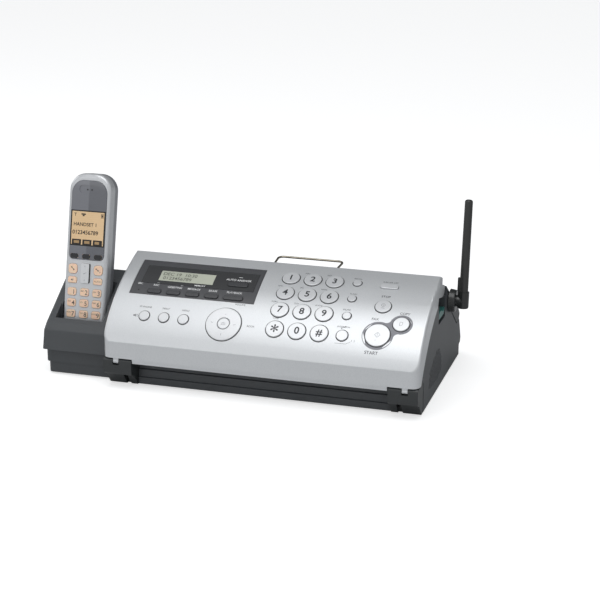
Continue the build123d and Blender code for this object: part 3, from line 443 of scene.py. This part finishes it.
# Wells of the round keys: the hole in the cover around each cap reads as a dark line, drawn
# as painted shade: a narrow ring of black ink let into the edge of the hole.
# Black ink standing in for the shade in holes and gaps (painted shade); it also makes the real dark
# frame of the handset screen.
painted_shade_and_frame_black = ink("painted_hole_shade_and_frame_black", "#0C0C0D")
round_keys = [(dial_middle + (c - 1) * dial_pitch, a, 19.1) for a in dial_rows for c in range(3)]
round_keys += [(-133.6 + 22.4 * i, 32.8, 11.4) for i in range(3)]
round_keys += [(88.5, 106.4, 9.2), (88.5, 81.2, 9.0), (88.5, 56.7, 9.2), (88.5, 32.2, 12.4),
               (*stop_at, 17.2), (*copy_at, 17.4), (*start_at, 26.6), (*ring_at, 39.0)]
wells = []
for across, along, width in round_keys:
    well = disc(width / 2 + 0.85, across, along, 0.06, 64)
    combine(well, disc(width / 2 + 0.06, across, along, 1, 64), "DIFFERENCE")
    wells.append(well)
wells = join_as(wells, "key_well_painted_shade")
lay_on_slope(wells, 0, 0, 0.12)
finish_piece(wells, "key_well_painted_shade", painted_shade_and_frame_black, "front_cover")


def bars(strokes, thickness=0.08):
    """Strokes of ink as thin closed bars: each is middle x, y, length, width and turn in degrees."""
    made = []
    for x, y, length, width, angle in strokes:
        bpy.ops.mesh.primitive_cube_add(size=1, location=(0, 0, 0))
        bar = bpy.context.object
        bar.scale = (length, width, thickness)
        bpy.ops.object.transform_apply(location=True, rotation=True, scale=True)
        for vertex in bar.data.vertices:
            vertex.co = Matrix.Rotation(math.radians(angle), 3, "Z") @ vertex.co + Vector((x, y, 0))
        made.append(bar)
    return join_as(made, "bars")


# Signs on the round keys: a diamond on start, a sheet on copy and a bar in a ring on stop, each
# screened on its cap; ticks on the four-way ring and a book sign on the key in its middle.
grey_sign = ink("mid_grey_key_ink", "#77797E")
diamond = bars([(-1.55, 1.55, 4.4, 0.35, 45), (1.55, -1.55, 4.4, 0.35, 45),
                (-1.55, -1.55, 4.4, 0.35, -45), (1.55, 1.55, 4.4, 0.35, -45),
                (0, 0, 4.0, 0.3, 90), (-1.2, -6.4, 0.7, 0.5, 0)])
lay_on_slope(diamond, *start_at, key_lift)
finish_piece(diamond, "start_sign", grey_sign, "start_key")
sheet_sign = bars([(-1.5, 0, 4.4, 0.35, 90), (0, 2.2, 3.0, 0.35, 0), (1.5, 0.9, 2.6, 0.35, 90),
                   (-0.5, -2.2, 2.0, 0.35, 0), (1.0, -1.3, 1.7, 0.35, 45)])
lay_on_slope(sheet_sign, *copy_at, key_lift)
finish_piece(sheet_sign, "copy_sign", grey_sign, "copy_key")
ring = disc(2.2, 0, 1.0, 0.08, 48)
combine(ring, disc(1.85, 0, 1.0, 2, 48), "DIFFERENCE")
stop_sign = join_as([ring, bars([(0, 1.0, 1.5, 0.4, 90), (0, -3.0, 4.0, 0.35, 0)])], "stop_sign")
lay_on_slope(stop_sign, *stop_at, key_lift)
finish_piece(stop_sign, "stop_sign", grey_sign, "stop_key")
ticks = bars([(0, 11.2, 1.8, 0.4, 0), (0, -12.8, 2.6, 0.4, 90), (-13.0, 0, 2.4, 0.4, -20),
              (12.6, -0.6, 2.6, 0.4, 15)])
lay_on_slope(ticks, *ring_at, key_lift)
finish_piece(ticks, "ring_ticks", grey_sign, "nav_ring")
book = bars([(-1.1, 0.6, 2.2, 0.3, 20), (1.1, 0.6, 2.2, 0.3, -20), (-1.1, -1.4, 2.2, 0.3, 20),
             (1.1, -1.4, 2.2, 0.3, -20), (-2.1, -0.8, 2.0, 0.3, 90), (2.1, -0.8, 2.0, 0.3, 90),
             (0, -0.4, 2.0, 0.3, 90)])
lay_on_slope(book, *ring_at, key_lift)
finish_piece(book, "book_sign", grey_sign, "nav_centre_key")

# Signs on the slope by the small keys: a loudspeaker, dots, a handset and a line of rays.
signs_on_slope = bars([
    (-145.4, 32.6, 1.8, 1.6, 0), (-143.6, 32.6, 3.0, 0.9, 90), (-141.6, 33.8, 1.6, 0.35, 25),
    (-141.6, 31.4, 1.6, 0.35, -25), (-141.2, 32.6, 1.4, 0.35, 0), (88.2, 42.2, 3.4, 0.4, 20),
    (86.4, 40.8, 1.6, 0.8, 80), (90.2, 43.4, 1.6, 0.8, 80), (96.4, 24.4, 5.4, 0.3, 28),
    (88.0, 23.0, 12.0, 0.3, 0), (99.6, 27.0, 2.4, 0.35, 90), (102.6, 27.0, 2.4, 0.35, 90),
])
lay_on_slope(signs_on_slope, 0, 0, 0.03)
finish_piece(signs_on_slope, "slope_signs", grey_ink, "front_cover")

# Window over the display: clear acrylic, printed dark behind except over the liquid crystal
# panel. The panel is a pale green plate with its characters in dark dots.
acrylic, tree, shader = new_material(
    "back_printed_acrylic", IOR=1.49, Coat_Weight=1.0, Coat_Roughness=0.03
)
place = add_node(tree, "ShaderNodeTexCoord")
haze = add_node(
    tree, "ShaderNodeTexNoise", [(place.outputs["Object"], "Vector")], scale=35.0, detail=4.0
)
tint(tree, shader, haze.outputs["Fac"], "#27282A", "#303133")
roughen(tree, shader, haze.outputs["Fac"], 0.06, 0.16)
dress(["lcd_window"], acrylic)


def glowing_plate(name, low_colour, high_colour, dots_mm):
    """Liquid crystal plate under a clear front: faint dot grid over a slow change of tone."""
    made, tree, shader = new_material(name, Roughness=0.22, Coat_Weight=1.0, Coat_Roughness=0.04)
    place = add_node(tree, "ShaderNodeTexCoord")
    dots = add_node(
        tree, "ShaderNodeTexVoronoi", [(place.outputs["Object"], "Vector")],
        scale=1 / (dots_mm * MM), randomness=0.0,
    )
    slow = add_node(
        tree, "ShaderNodeTexNoise", [(place.outputs["Object"], "Vector")], scale=30.0
    )
    mixed = add_node(
        tree, "ShaderNodeMath", [(dots.outputs["Distance"], 0), (slow.outputs["Fac"], 1)],
        operation="ADD",
    )
    tone = add_node(tree, "ShaderNodeValToRGB", [(mixed.outputs["Value"], "Fac")])
    tone.color_ramp.elements[0].position = 0.4
    tone.color_ramp.elements[0].color = linear(low_colour)
    tone.color_ramp.elements[1].color = linear(high_colour)
    tree.links.new(tone.outputs["Color"], shader.inputs["Base Color"])
    return made


def plate(width, height, thickness, columns, rows):
    """A thin plate in millimetres about the origin, cut finely enough to bend."""
    bpy.ops.mesh.primitive_grid_add(x_subdivisions=columns, y_subdivisions=rows, size=1)
    made = bpy.context.object
    made.scale = (width, height, 1)
    bpy.ops.object.transform_apply(location=True, rotation=True, scale=True)
    solid = made.modifiers.new("thickness", "SOLIDIFY")
    solid.thickness = thickness
    solid.offset = 0
    bpy.ops.object.modifier_apply(modifier=solid.name)
    return made


lcd_middle = (-100.9, 90.6)
lcd = plate(62.9, 15.9, 0.1, 30, 8)
lay_on_slope(lcd, *lcd_middle, 0.24)
lcd_green = glowing_plate("liquid_crystal_green", "#A4AA99", "#B9BDAE", 0.7)
finish_piece(lcd, "lcd_plate", lcd_green, "front_cover")
lcd_ink = ink("lcd_dark_segments", "#43473F")
line_one = printed("DEC 19  10:30", 4.8, 0.05)
line_two = printed("0123456789", 4.8, 0.05)
lay_on_slope(line_one, -110.0, 93.6, 0.32)
lay_on_slope(line_two, -111.6, 87.0, 0.32)
lcd_text = join_as([line_one, line_two], "lcd_text")
finish_piece(lcd_text, "lcd_text", lcd_ink, "front_cover")

# White legends on the bezel; its little microphone hole as a black disc of painted shade; and the lamp
# over the answering key as a white ink bar, painted light.
white_ink = ink("white_screen_ink", "#E4E5E6")
bezel_words = []
for text, across, along, height in [
    ("REC", -132.0, 74.8, 2.6), ("GREETING", -109.9, 73.6, 2.6), ("MESSAGE", -87.9, 73.6, 2.6),
    ("ERASE", -65.9, 73.6, 2.6), ("PLAYBACK", -41.4, 73.8, 2.6), ("AUTO ANSWER", -42.0, 93.6, 2.9),
    ("MEMORY", -83.0, 79.4, 2.2), ("MIC", -150.6, 75.4, 2.4),
]:
    word = printed(text, height, 0.03)
    lay_on_slope(word, across, along, 0.26)
    bezel_words.append(word)
# The first bar is the lamp over the answering key: painted light, white ink where the lamp shows bright.
# The other two are printed lines.
marks = bars([(-41.0, 98.4, 4.2, 0.5, 0), (-130.6, 78.4, 3.0, 0.3, 0), (-103.0, 77.2, 3.0, 0.3, 0)])
lay_on_slope(marks, 0, 0, 0.26)
bezel_print_and_lamp_light = join_as(bezel_words + [marks], "bezel_print_and_lamp_light")
finish_piece(bezel_print_and_lamp_light, "bezel_print_and_lamp_light", white_ink, "front_cover")
# The microphone hole is a black disc laid on the slope: painted shade, not a hole.
mic_hole_shade = disc(0.9, -150.2, 66.4, 0.08, 32)
lay_on_slope(mic_hole_shade, 0, 0, 0.06)
finish_piece(mic_hole_shade, "microphone_hole_painted_shade", painted_shade_and_frame_black, "front_cover")

# Handset: its own flat front, leaning back in the cradle. Two silver shells, a smoked lens over
# the screen and the earpiece, and a keymat of peach caps lit from behind.
handset_low, handset_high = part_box("handset_front_shell")
lean = math.radians(13.0)
handset_x = (handset_low.x + handset_high.x) / 2
handset_foot = Vector((handset_x, front_y + 44.6 * MM, 43.0 * MM))


def lay_on_handset(piece, u, w, lift):
    """Set a flat piece drawn in millimetres on the handset's front face."""
    for vertex in piece.data.vertices:
        x, y, z = (u + vertex.co.x) * MM, (w + vertex.co.y) * MM, (lift + vertex.co.z) * MM
        vertex.co = handset_foot + Vector((
            x, y * math.sin(lean) - z * math.cos(lean), y * math.cos(lean) + z * math.sin(lean),
        ))
    piece.data.update()


handset_silver = moulded("silver_handset_paint", "#C6C8CB", 0.3, 0.4, 0.01, 0.04)
handset_silver.node_tree.nodes["Principled BSDF"].inputs["Metallic"].default_value = 0.4
handset_silver.node_tree.nodes["Principled BSDF"].inputs["Coat Weight"].default_value = 0.3
dress(["handset_front_shell"], handset_silver)
handset_grey = moulded("grey_handset_back_paint", "#93959A", 0.3, 0.4, 0.01, 0.04)
handset_grey.node_tree.nodes["Principled BSDF"].inputs["Metallic"].default_value = 0.4
dress(["handset_back_shell"], handset_grey)
smoked, tree, shader = new_material(
    "smoked_acrylic_lens", IOR=1.49, Coat_Weight=1.0, Coat_Roughness=0.03
)
place = add_node(tree, "ShaderNodeTexCoord")
split = add_node(tree, "ShaderNodeSeparateXYZ", [(place.outputs["Object"], "Vector")])
# Painted reflection: the lens is painted lighter on its left half than on its right, changing sharply at
# the handset's middle.
lens_painted_reflection_split = add_node(
    tree, "ShaderNodeMapRange", [(split.outputs["X"], "Value")],
    from_min=handset_x - 0.0012, from_max=handset_x + 0.0004,
)
tint(tree, shader, lens_painted_reflection_split.outputs["Result"], "#6B6D74", "#585A61")
smear = add_node(
    tree, "ShaderNodeTexNoise", [(place.outputs["Object"], "Vector")], scale=60.0, detail=3.0
)
roughen(tree, shader, smear.outputs["Fac"], 0.1, 0.22)
dress(["handset_lens"], smoked)
peach = moulded("peach_backlit_silicone", "#EFCDB2", 0.36, 0.5, 0.01, 0.05)
peach.node_tree.nodes["Principled BSDF"].inputs["Subsurface Weight"].default_value = 0.15
peach.node_tree.nodes["Principled BSDF"].inputs["Subsurface Scale"].default_value = 0.002
dress(["handset_keymat"], peach)

# Screen: an amber panel under the lens, in a thin dark frame. Ink: reception and battery
# signs, two lines of characters and three dark soft-key tabs.
screen_frame = plate(41.4, 39.6, 0.06, 2, 2)
lay_on_handset(screen_frame, 0, 119.0, 0.64)
finish_piece(screen_frame, "handset_screen_frame", painted_shade_and_frame_black, "handset")
screen = plate(38.4, 37.0, 0.08, 2, 2)
lay_on_handset(screen, 0, 119.0, 0.68)
screen_amber = glowing_plate("amber_liquid_crystal", "#D9B381", "#E4C294", 0.5)
finish_piece(screen, "handset_screen", screen_amber, "handset")
tabs = [(x, 103.4, 11.0, 6.0, 0) for x in (-12.6, 0, 12.6)]
screen_marks = bars(tabs + [
    (-15.4, 133.6, 3.4, 0.6, 90), (-15.4, 135.2, 3.4, 0.5, 0), (-5.6, 134.6, 5.4, 1.4, 0),
    (-5.6, 133.0, 2.2, 1.4, 0), (15.6, 133.6, 4.2, 0.4, 90), (18.0, 133.6, 4.2, 0.4, 90),
    (16.8, 135.8, 2.8, 0.4, 0), (16.8, 131.6, 2.8, 0.4, 0), (16.8, 133.6, 1.4, 2.4, 0),
])
lay_on_handset(screen_marks, 0, 0, 0.74)
digits_up, digits_low = printed("HANDSET 1", 3.9, 0.08), printed("0123456789", 4.5, 0.1)
lay_on_handset(digits_up, -3.0, 123.0, 0.74)
lay_on_handset(digits_low, -2.6, 114.0, 0.74)
finish_piece(join_as([screen_marks, digits_up, digits_low], "screen_ink"), "handset_screen_ink",
             ink("liquid_crystal_black", "#221D18"), "handset")
tab_signs = bars([(-12.6, 103.4, 6.4, 3.0, 0), (0, 103.4, 6.4, 3.0, 0), (12.0, 103.4, 5.4, 3.0, 0)], 0.1)
lay_on_handset(tab_signs, 0, 0, 0.78)
amber_ink = ink("amber_open_segments", "#A88A62")
finish_piece(tab_signs, "handset_tab_signs", amber_ink, "handset")

# Earpiece: two holes at the bottom of the hollow in the lens, drawn as black discs of painted shade.
ear = join_as([disc(0.9, -2.6, 162.0, 0.2, 24), disc(0.9, 2.6, 162.0, 0.2, 24)], "ear")
lay_on_handset(ear, 0, 0, 0.08)
finish_piece(ear, "earpiece_holes_painted_shade", painted_shade_and_frame_black, "handset")

# Legends of the handset's keys, and the caps that aren't peach: black ovals under the screen
# and a silver rocker. Each is a thin skin on the cap of the keymat.
legend = []
grid = [["*", "0", "#"], ["7", "8", "9"], ["4", "5", "6"], ["1", "2", "3"]]
small = {str(index + 1): group for index, group in enumerate(letters) if group}
for row, figures in enumerate(grid):
    for column, digit in enumerate(figures):
        u, w = (column - 1) * 15.0, 10.4 + row * 12.35
        figure = printed(digit, 5.2 if digit != "*" else 8.0, 0.03)
        lay_on_handset(figure, u + 2.4, w - (1.6 if digit == "*" else 0.4), 0.94)
        legend.append(figure)
        if digit in small:
            group = printed(small[digit], 1.5)
            lay_on_handset(group, u - 2.4, w + 1.2, 0.94)
            legend.append(group)
strokes = [(-15.2, 73.4, 3.6, 0.6, -45), (-16.6, 74.8, 1.4, 1.1, 45), (-13.8, 72.0, 1.4, 1.1, 45),
           (14.0, 73.8, 3.4, 0.6, -35), (12.8, 74.6, 1.4, 1.1, 45), (15.4, 72.8, 1.4, 1.1, 45),
           (17.6, 71.2, 1.6, 0.5, 90), (-15.8, 60.6, 1.4, 1.4, 0), (-14.4, 60.6, 2.2, 0.6, 90)]
legend_strokes = bars(strokes)
lay_on_handset(legend_strokes, 0, 0, 0.94)
auto = printed("AUTO", 2.0)
lay_on_handset(auto, 15.0, 60.6, 0.94)
finish_piece(join_as(legend + [legend_strokes, auto], "legend"), "handset_legends",
             ink("grey_brown_key_ink", "#55504C"), "handset")


def cap(width, height, corner, thickness):
    """A thin rounded skin over a key, its corners cut by a vertical bevel."""
    bpy.ops.mesh.primitive_cube_add(size=1, location=(0, 0, 0))
    made = bpy.context.object
    made.scale = (width, height, thickness)
    bpy.ops.object.transform_apply(location=True, rotation=True, scale=True)
    bpy.ops.object.mode_set(mode="EDIT")
    bpy.ops.mesh.select_mode(type="EDGE")
    bpy.ops.mesh.select_all(action="DESELECT")
    bpy.ops.object.mode_set(mode="OBJECT")
    for edge in made.data.edges:
        a, b = (made.data.vertices[i].co for i in edge.vertices)
        edge.select = abs(a.z - b.z) > thickness / 2
    bpy.ops.object.mode_set(mode="EDIT")
    bpy.ops.mesh.bevel(offset=corner, segments=8, affect="EDGES")
    bpy.ops.object.mode_set(mode="OBJECT")
    return made


soft_caps = []
for u in (-14.2, 0, 14.2):
    soft_cap = cap(9.2, 5.2, 2.2, 1.0)
    lay_on_handset(soft_cap, u, 87.6, 0.6)
    soft_caps.append(soft_cap)
rocker_side = cap(2.6, 21.6, 1.2, 0.9)
lay_on_handset(rocker_side, 4.25, 68.8, 0.52)
soft_black = moulded("black_gloss_soft_keys", "#1F2023", 0.18, 0.5, 0.005, 0.04)
soft_caps = join_as(soft_caps + [rocker_side], "handset_soft_caps")
finish_piece(soft_caps, "handset_soft_caps", soft_black, "handset")
rocker = cap(9.8, 21.8, 1.6, 1.0)
lay_on_handset(rocker, -0.5, 68.8, 0.55)
finish_piece(rocker, "handset_rocker_cap", key_silver, "handset")
rocker_ticks = bars([(-0.6, 76.6, 1.8, 0.4, 90), (-0.6, 61.0, 1.8, 0.4, 90), (-0.6, 68.8, 4.0, 0.4, 25)])
lay_on_handset(rocker_ticks, 0, 0, 1.1)
finish_piece(rocker_ticks, "handset_rocker_signs", grey_sign, "handset")

# Charge plates: two nickel-plated steel plates on the handset's lower end, where it rests on
# the cradle's sprung contacts. The plating is a little rubbed.
nickel, tree, shader = new_material("nickel_plated_contacts", Metallic=1.0)
place = add_node(tree, "ShaderNodeTexCoord")
wear = add_node(
    tree, "ShaderNodeTexNoise", [(place.outputs["Object"], "Vector")], scale=400.0, detail=4.0
)
tint(tree, shader, wear.outputs["Fac"], "#B5B0A4", "#CFCBC0")
roughen(tree, shader, wear.outputs["Fac"], 0.22, 0.4)
plates = []
for side in (-1, 1):
    contact = cap(4.0, 7.0, 0.8, 0.24)
    for vertex in contact.data.vertices:
        vertex.co = Vector((vertex.co.x, vertex.co.z, vertex.co.y - 7.0))
    lay_on_handset(contact, side * 14.0, -0.06, 0)
    plates.append(contact)
finish_piece(join_as(plates, "plates"), "handset_charge_plates", nickel, "handset")

# Release lever: moulded in teal so that the user finds it, the same ABS as the cabinet.
teal_abs = moulded("teal_abs_lever", "#2F6B66", 0.36, 0.5, 0.03, 0.06)
dress(["release_lever"], teal_abs)


def drawn_metal(name, low_colour, high_colour, roughness, along, scale=900.0):
    """Bare metal with fine marks drawn out along one axis and a slow change of tone."""
    made, tree, shader = new_material(name, Metallic=1.0)
    place = add_node(tree, "ShaderNodeTexCoord")
    stretched = add_node(tree, "ShaderNodeMapping", [(place.outputs["Object"], "Vector")])
    stretched.inputs["Scale"].default_value = [0.04 if axis == along else 1.0 for axis in "XYZ"]
    marks = add_node(
        tree, "ShaderNodeTexNoise", [(stretched.outputs["Vector"], "Vector")], scale=scale, detail=4.0
    )
    tint(tree, shader, marks.outputs["Fac"], low_colour, high_colour)
    roughen(tree, shader, marks.outputs["Fac"], roughness - 0.08, roughness + 0.08)
    raise_grain(tree, shader, marks.outputs["Fac"], 0.2, 0.01)
    return made


# Wire paper support: 2.5 mm drawn steel wire, nickel plated and bent in one piece.
wire_steel = drawn_metal("nickel_plated_steel_wire", "#8F897C", "#B5AE9F", 0.28, "X")
dress(["paper_wire"], wire_steel)

# Antenna: a soft black thermoplastic sleeve over the whip, on a glossier ABS knuckle.
antenna_abs = moulded("black_gloss_knuckle_abs", "#242626", 0.24, 0.4, 0.01, 0.05)
dress(["antenna_knuckle"], antenna_abs)
antenna_sleeve = moulded("black_thermoplastic_sleeve", "#2A2B2B", 0.34, 0.5, 0.02, 0.05)
dress(["antenna_rod"], antenna_sleeve)

# Rollers: black nitrile rubber ground to size, with their gears pressed on. The ink film is a
# glossy dark ribbon wound on two cores.
nitrile = moulded("ground_nitrile_rubber", "#222324", 0.7, 0.25, 0.02, 0.1)
dress(["platen_roller", "feed_roller"], nitrile)
foot_rubber = moulded("moulded_foot_rubber", "#1E1F1F", 0.8, 0.6, 0.06, 0.08)
dress(["rubber_feet"], foot_rubber)
film, tree, shader = new_material("wound_thermal_ink_film", Coat_Weight=0.6, Coat_Roughness=0.12)
place = add_node(tree, "ShaderNodeTexCoord")
wound = add_node(
    tree, "ShaderNodeTexWave", [(place.outputs["Object"], "Vector")], scale=120.0, distortion=3.0,
    bands_direction="X",
)
tint(tree, shader, wound.outputs["Fac"], "#15161A", "#24252C")
roughen(tree, shader, wound.outputs["Fac"], 0.2, 0.32)
dress(["film_takeup_roll", "film_supply_roll"], film)

# Drive: brass pinion on a zinc-plated steel motor, and an aluminium bar under the thermal head.
brass = drawn_metal("machined_brass", "#A98543", "#C8A45C", 0.3, "X")
dress(["motor_pinion"], brass)
zinc = drawn_metal("zinc_plated_steel", "#A4A7A9", "#C0C2C3", 0.34, "Y")
dress(["drive_motor"], zinc)
aluminium = drawn_metal("extruded_aluminium", "#B2B4B6", "#CDCFD0", 0.36, "X")
dress(["thermal_head"], aluminium)

# Main board: green solder mask with copper tracks showing through it as lighter lines. The
# jacks, the power inlet and the chips that stand on it are black moulded plastic.
mask, tree, shader = new_material("green_solder_mask", Coat_Weight=0.5, Coat_Roughness=0.15)
place = add_node(tree, "ShaderNodeTexCoord")
tracks = add_node(
    tree, "ShaderNodeTexBrick", [(place.outputs["Object"], "Vector")], scale=60.0
)
tracks.inputs["Color1"].default_value = linear("#1D5A34")
tracks.inputs["Color2"].default_value = linear("#23663C")
tracks.inputs["Mortar"].default_value = linear("#3C8452")
tracks.inputs["Mortar Size"].default_value = 0.012
height = add_node(tree, "ShaderNodeSeparateXYZ", [(place.outputs["Object"], "Vector")])
board_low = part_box("main_board")[0]
above = add_node(
    tree, "ShaderNodeMapRange", [(height.outputs["Z"], "Value")],
    from_min=board_low.z + 1.7 * MM, from_max=board_low.z + 1.8 * MM,
)
mixed = add_node(
    tree, "ShaderNodeMix", [(above.outputs["Result"], "Factor"), (tracks.outputs["Color"], 6)],
    data_type="RGBA",
)
mixed.inputs[7].default_value = linear("#1A1B1C")
tree.links.new(mixed.outputs[2], shader.inputs["Base Color"])
roughen(tree, shader, tracks.outputs["Fac"], 0.3, 0.45)
raise_grain(tree, shader, tracks.outputs["Fac"], 0.4, 0.03)
dress(["main_board"], mask)

# Loudspeaker: black pressed frame and paper cone behind the grille in the right flank.
speaker_paper = moulded("black_speaker_frame", "#1B1C1D", 0.55, 0.35, 0.03, 0.12)
dress(["speaker"], speaker_paper)

# Loudspeaker cloth: black acoustic mesh stretched behind the grille slots in the right flank.
speaker_low, speaker_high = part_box("speaker")
cloth = plate(speaker_high.y / MM - speaker_low.y / MM + 6, 36.0, 0.3, 30, 18)
cloth_x = speaker_high.x + 0.25 * MM
for vertex in cloth.data.vertices:
    flat = vertex.co * MM
    vertex.co = Vector((
        cloth_x + flat.z, (speaker_low.y + speaker_high.y) / 2 + flat.x,
        (speaker_low.z + speaker_high.z) / 2 + flat.y,
    ))
mesh_cloth, tree, shader = new_material("black_acoustic_mesh", Roughness=0.85)
place = add_node(tree, "ShaderNodeTexCoord")
weave = add_node(
    tree, "ShaderNodeTexVoronoi", [(place.outputs["Object"], "Vector")],
    scale=1 / (0.7 * MM), randomness=0.15,
)
tint(tree, shader, weave.outputs["Distance"], "#0B0B0C", "#26272A")
raise_grain(tree, shader, weave.outputs["Distance"], 0.8, 0.15)
finish_piece(cloth, "speaker_cloth", mesh_cloth, "cabinet")

# Screws under the floor: six pan heads with a cross recess, zinc plated, in the moulded base.
screws = []
for x in (-120, 30, 180):
    for y in (-72, 92):
        head = disc(3.2, 0, 0, 1.4, 32)
        rounded = head.modifiers.new("rounded", "BEVEL")
        rounded.width = 0.6
        rounded.segments = 3
        rounded.limit_method = "ANGLE"
        bpy.ops.object.modifier_apply(modifier=rounded.name)
        for angle in (0, 90):
            bpy.ops.mesh.primitive_cube_add(size=1, location=(0, 0, -0.6))
            slot_cut = bpy.context.object
            slot_cut.scale = (3.4, 0.8, 0.9)
            slot_cut.rotation_euler = (0, 0, math.radians(angle))
            bpy.ops.object.transform_apply(location=True, rotation=True, scale=True)
            combine(head, slot_cut, "DIFFERENCE")
        for vertex in head.data.vertices:
            vertex.co = Vector((x * MM, y * MM, 1.6 * MM)) + vertex.co * MM
        screws.append(head)
finish_piece(join_as(screws, "screws"), "floor_screws", zinc, "cabinet")

# Rating plate under the floor: a blank silver polyester label, with no text on it.
label = plate(64, 34, 0.2, 12, 8)
for vertex in label.data.vertices:
    vertex.co = Vector((0.03, 0.0, 1.92 * MM)) + vertex.co * MM
label_foil = moulded("silver_polyester_label", "#B9BBBD", 0.4, 0.8, 0.01, 0.05)
finish_piece(label, "rating_plate", label_foil, "cabinet")
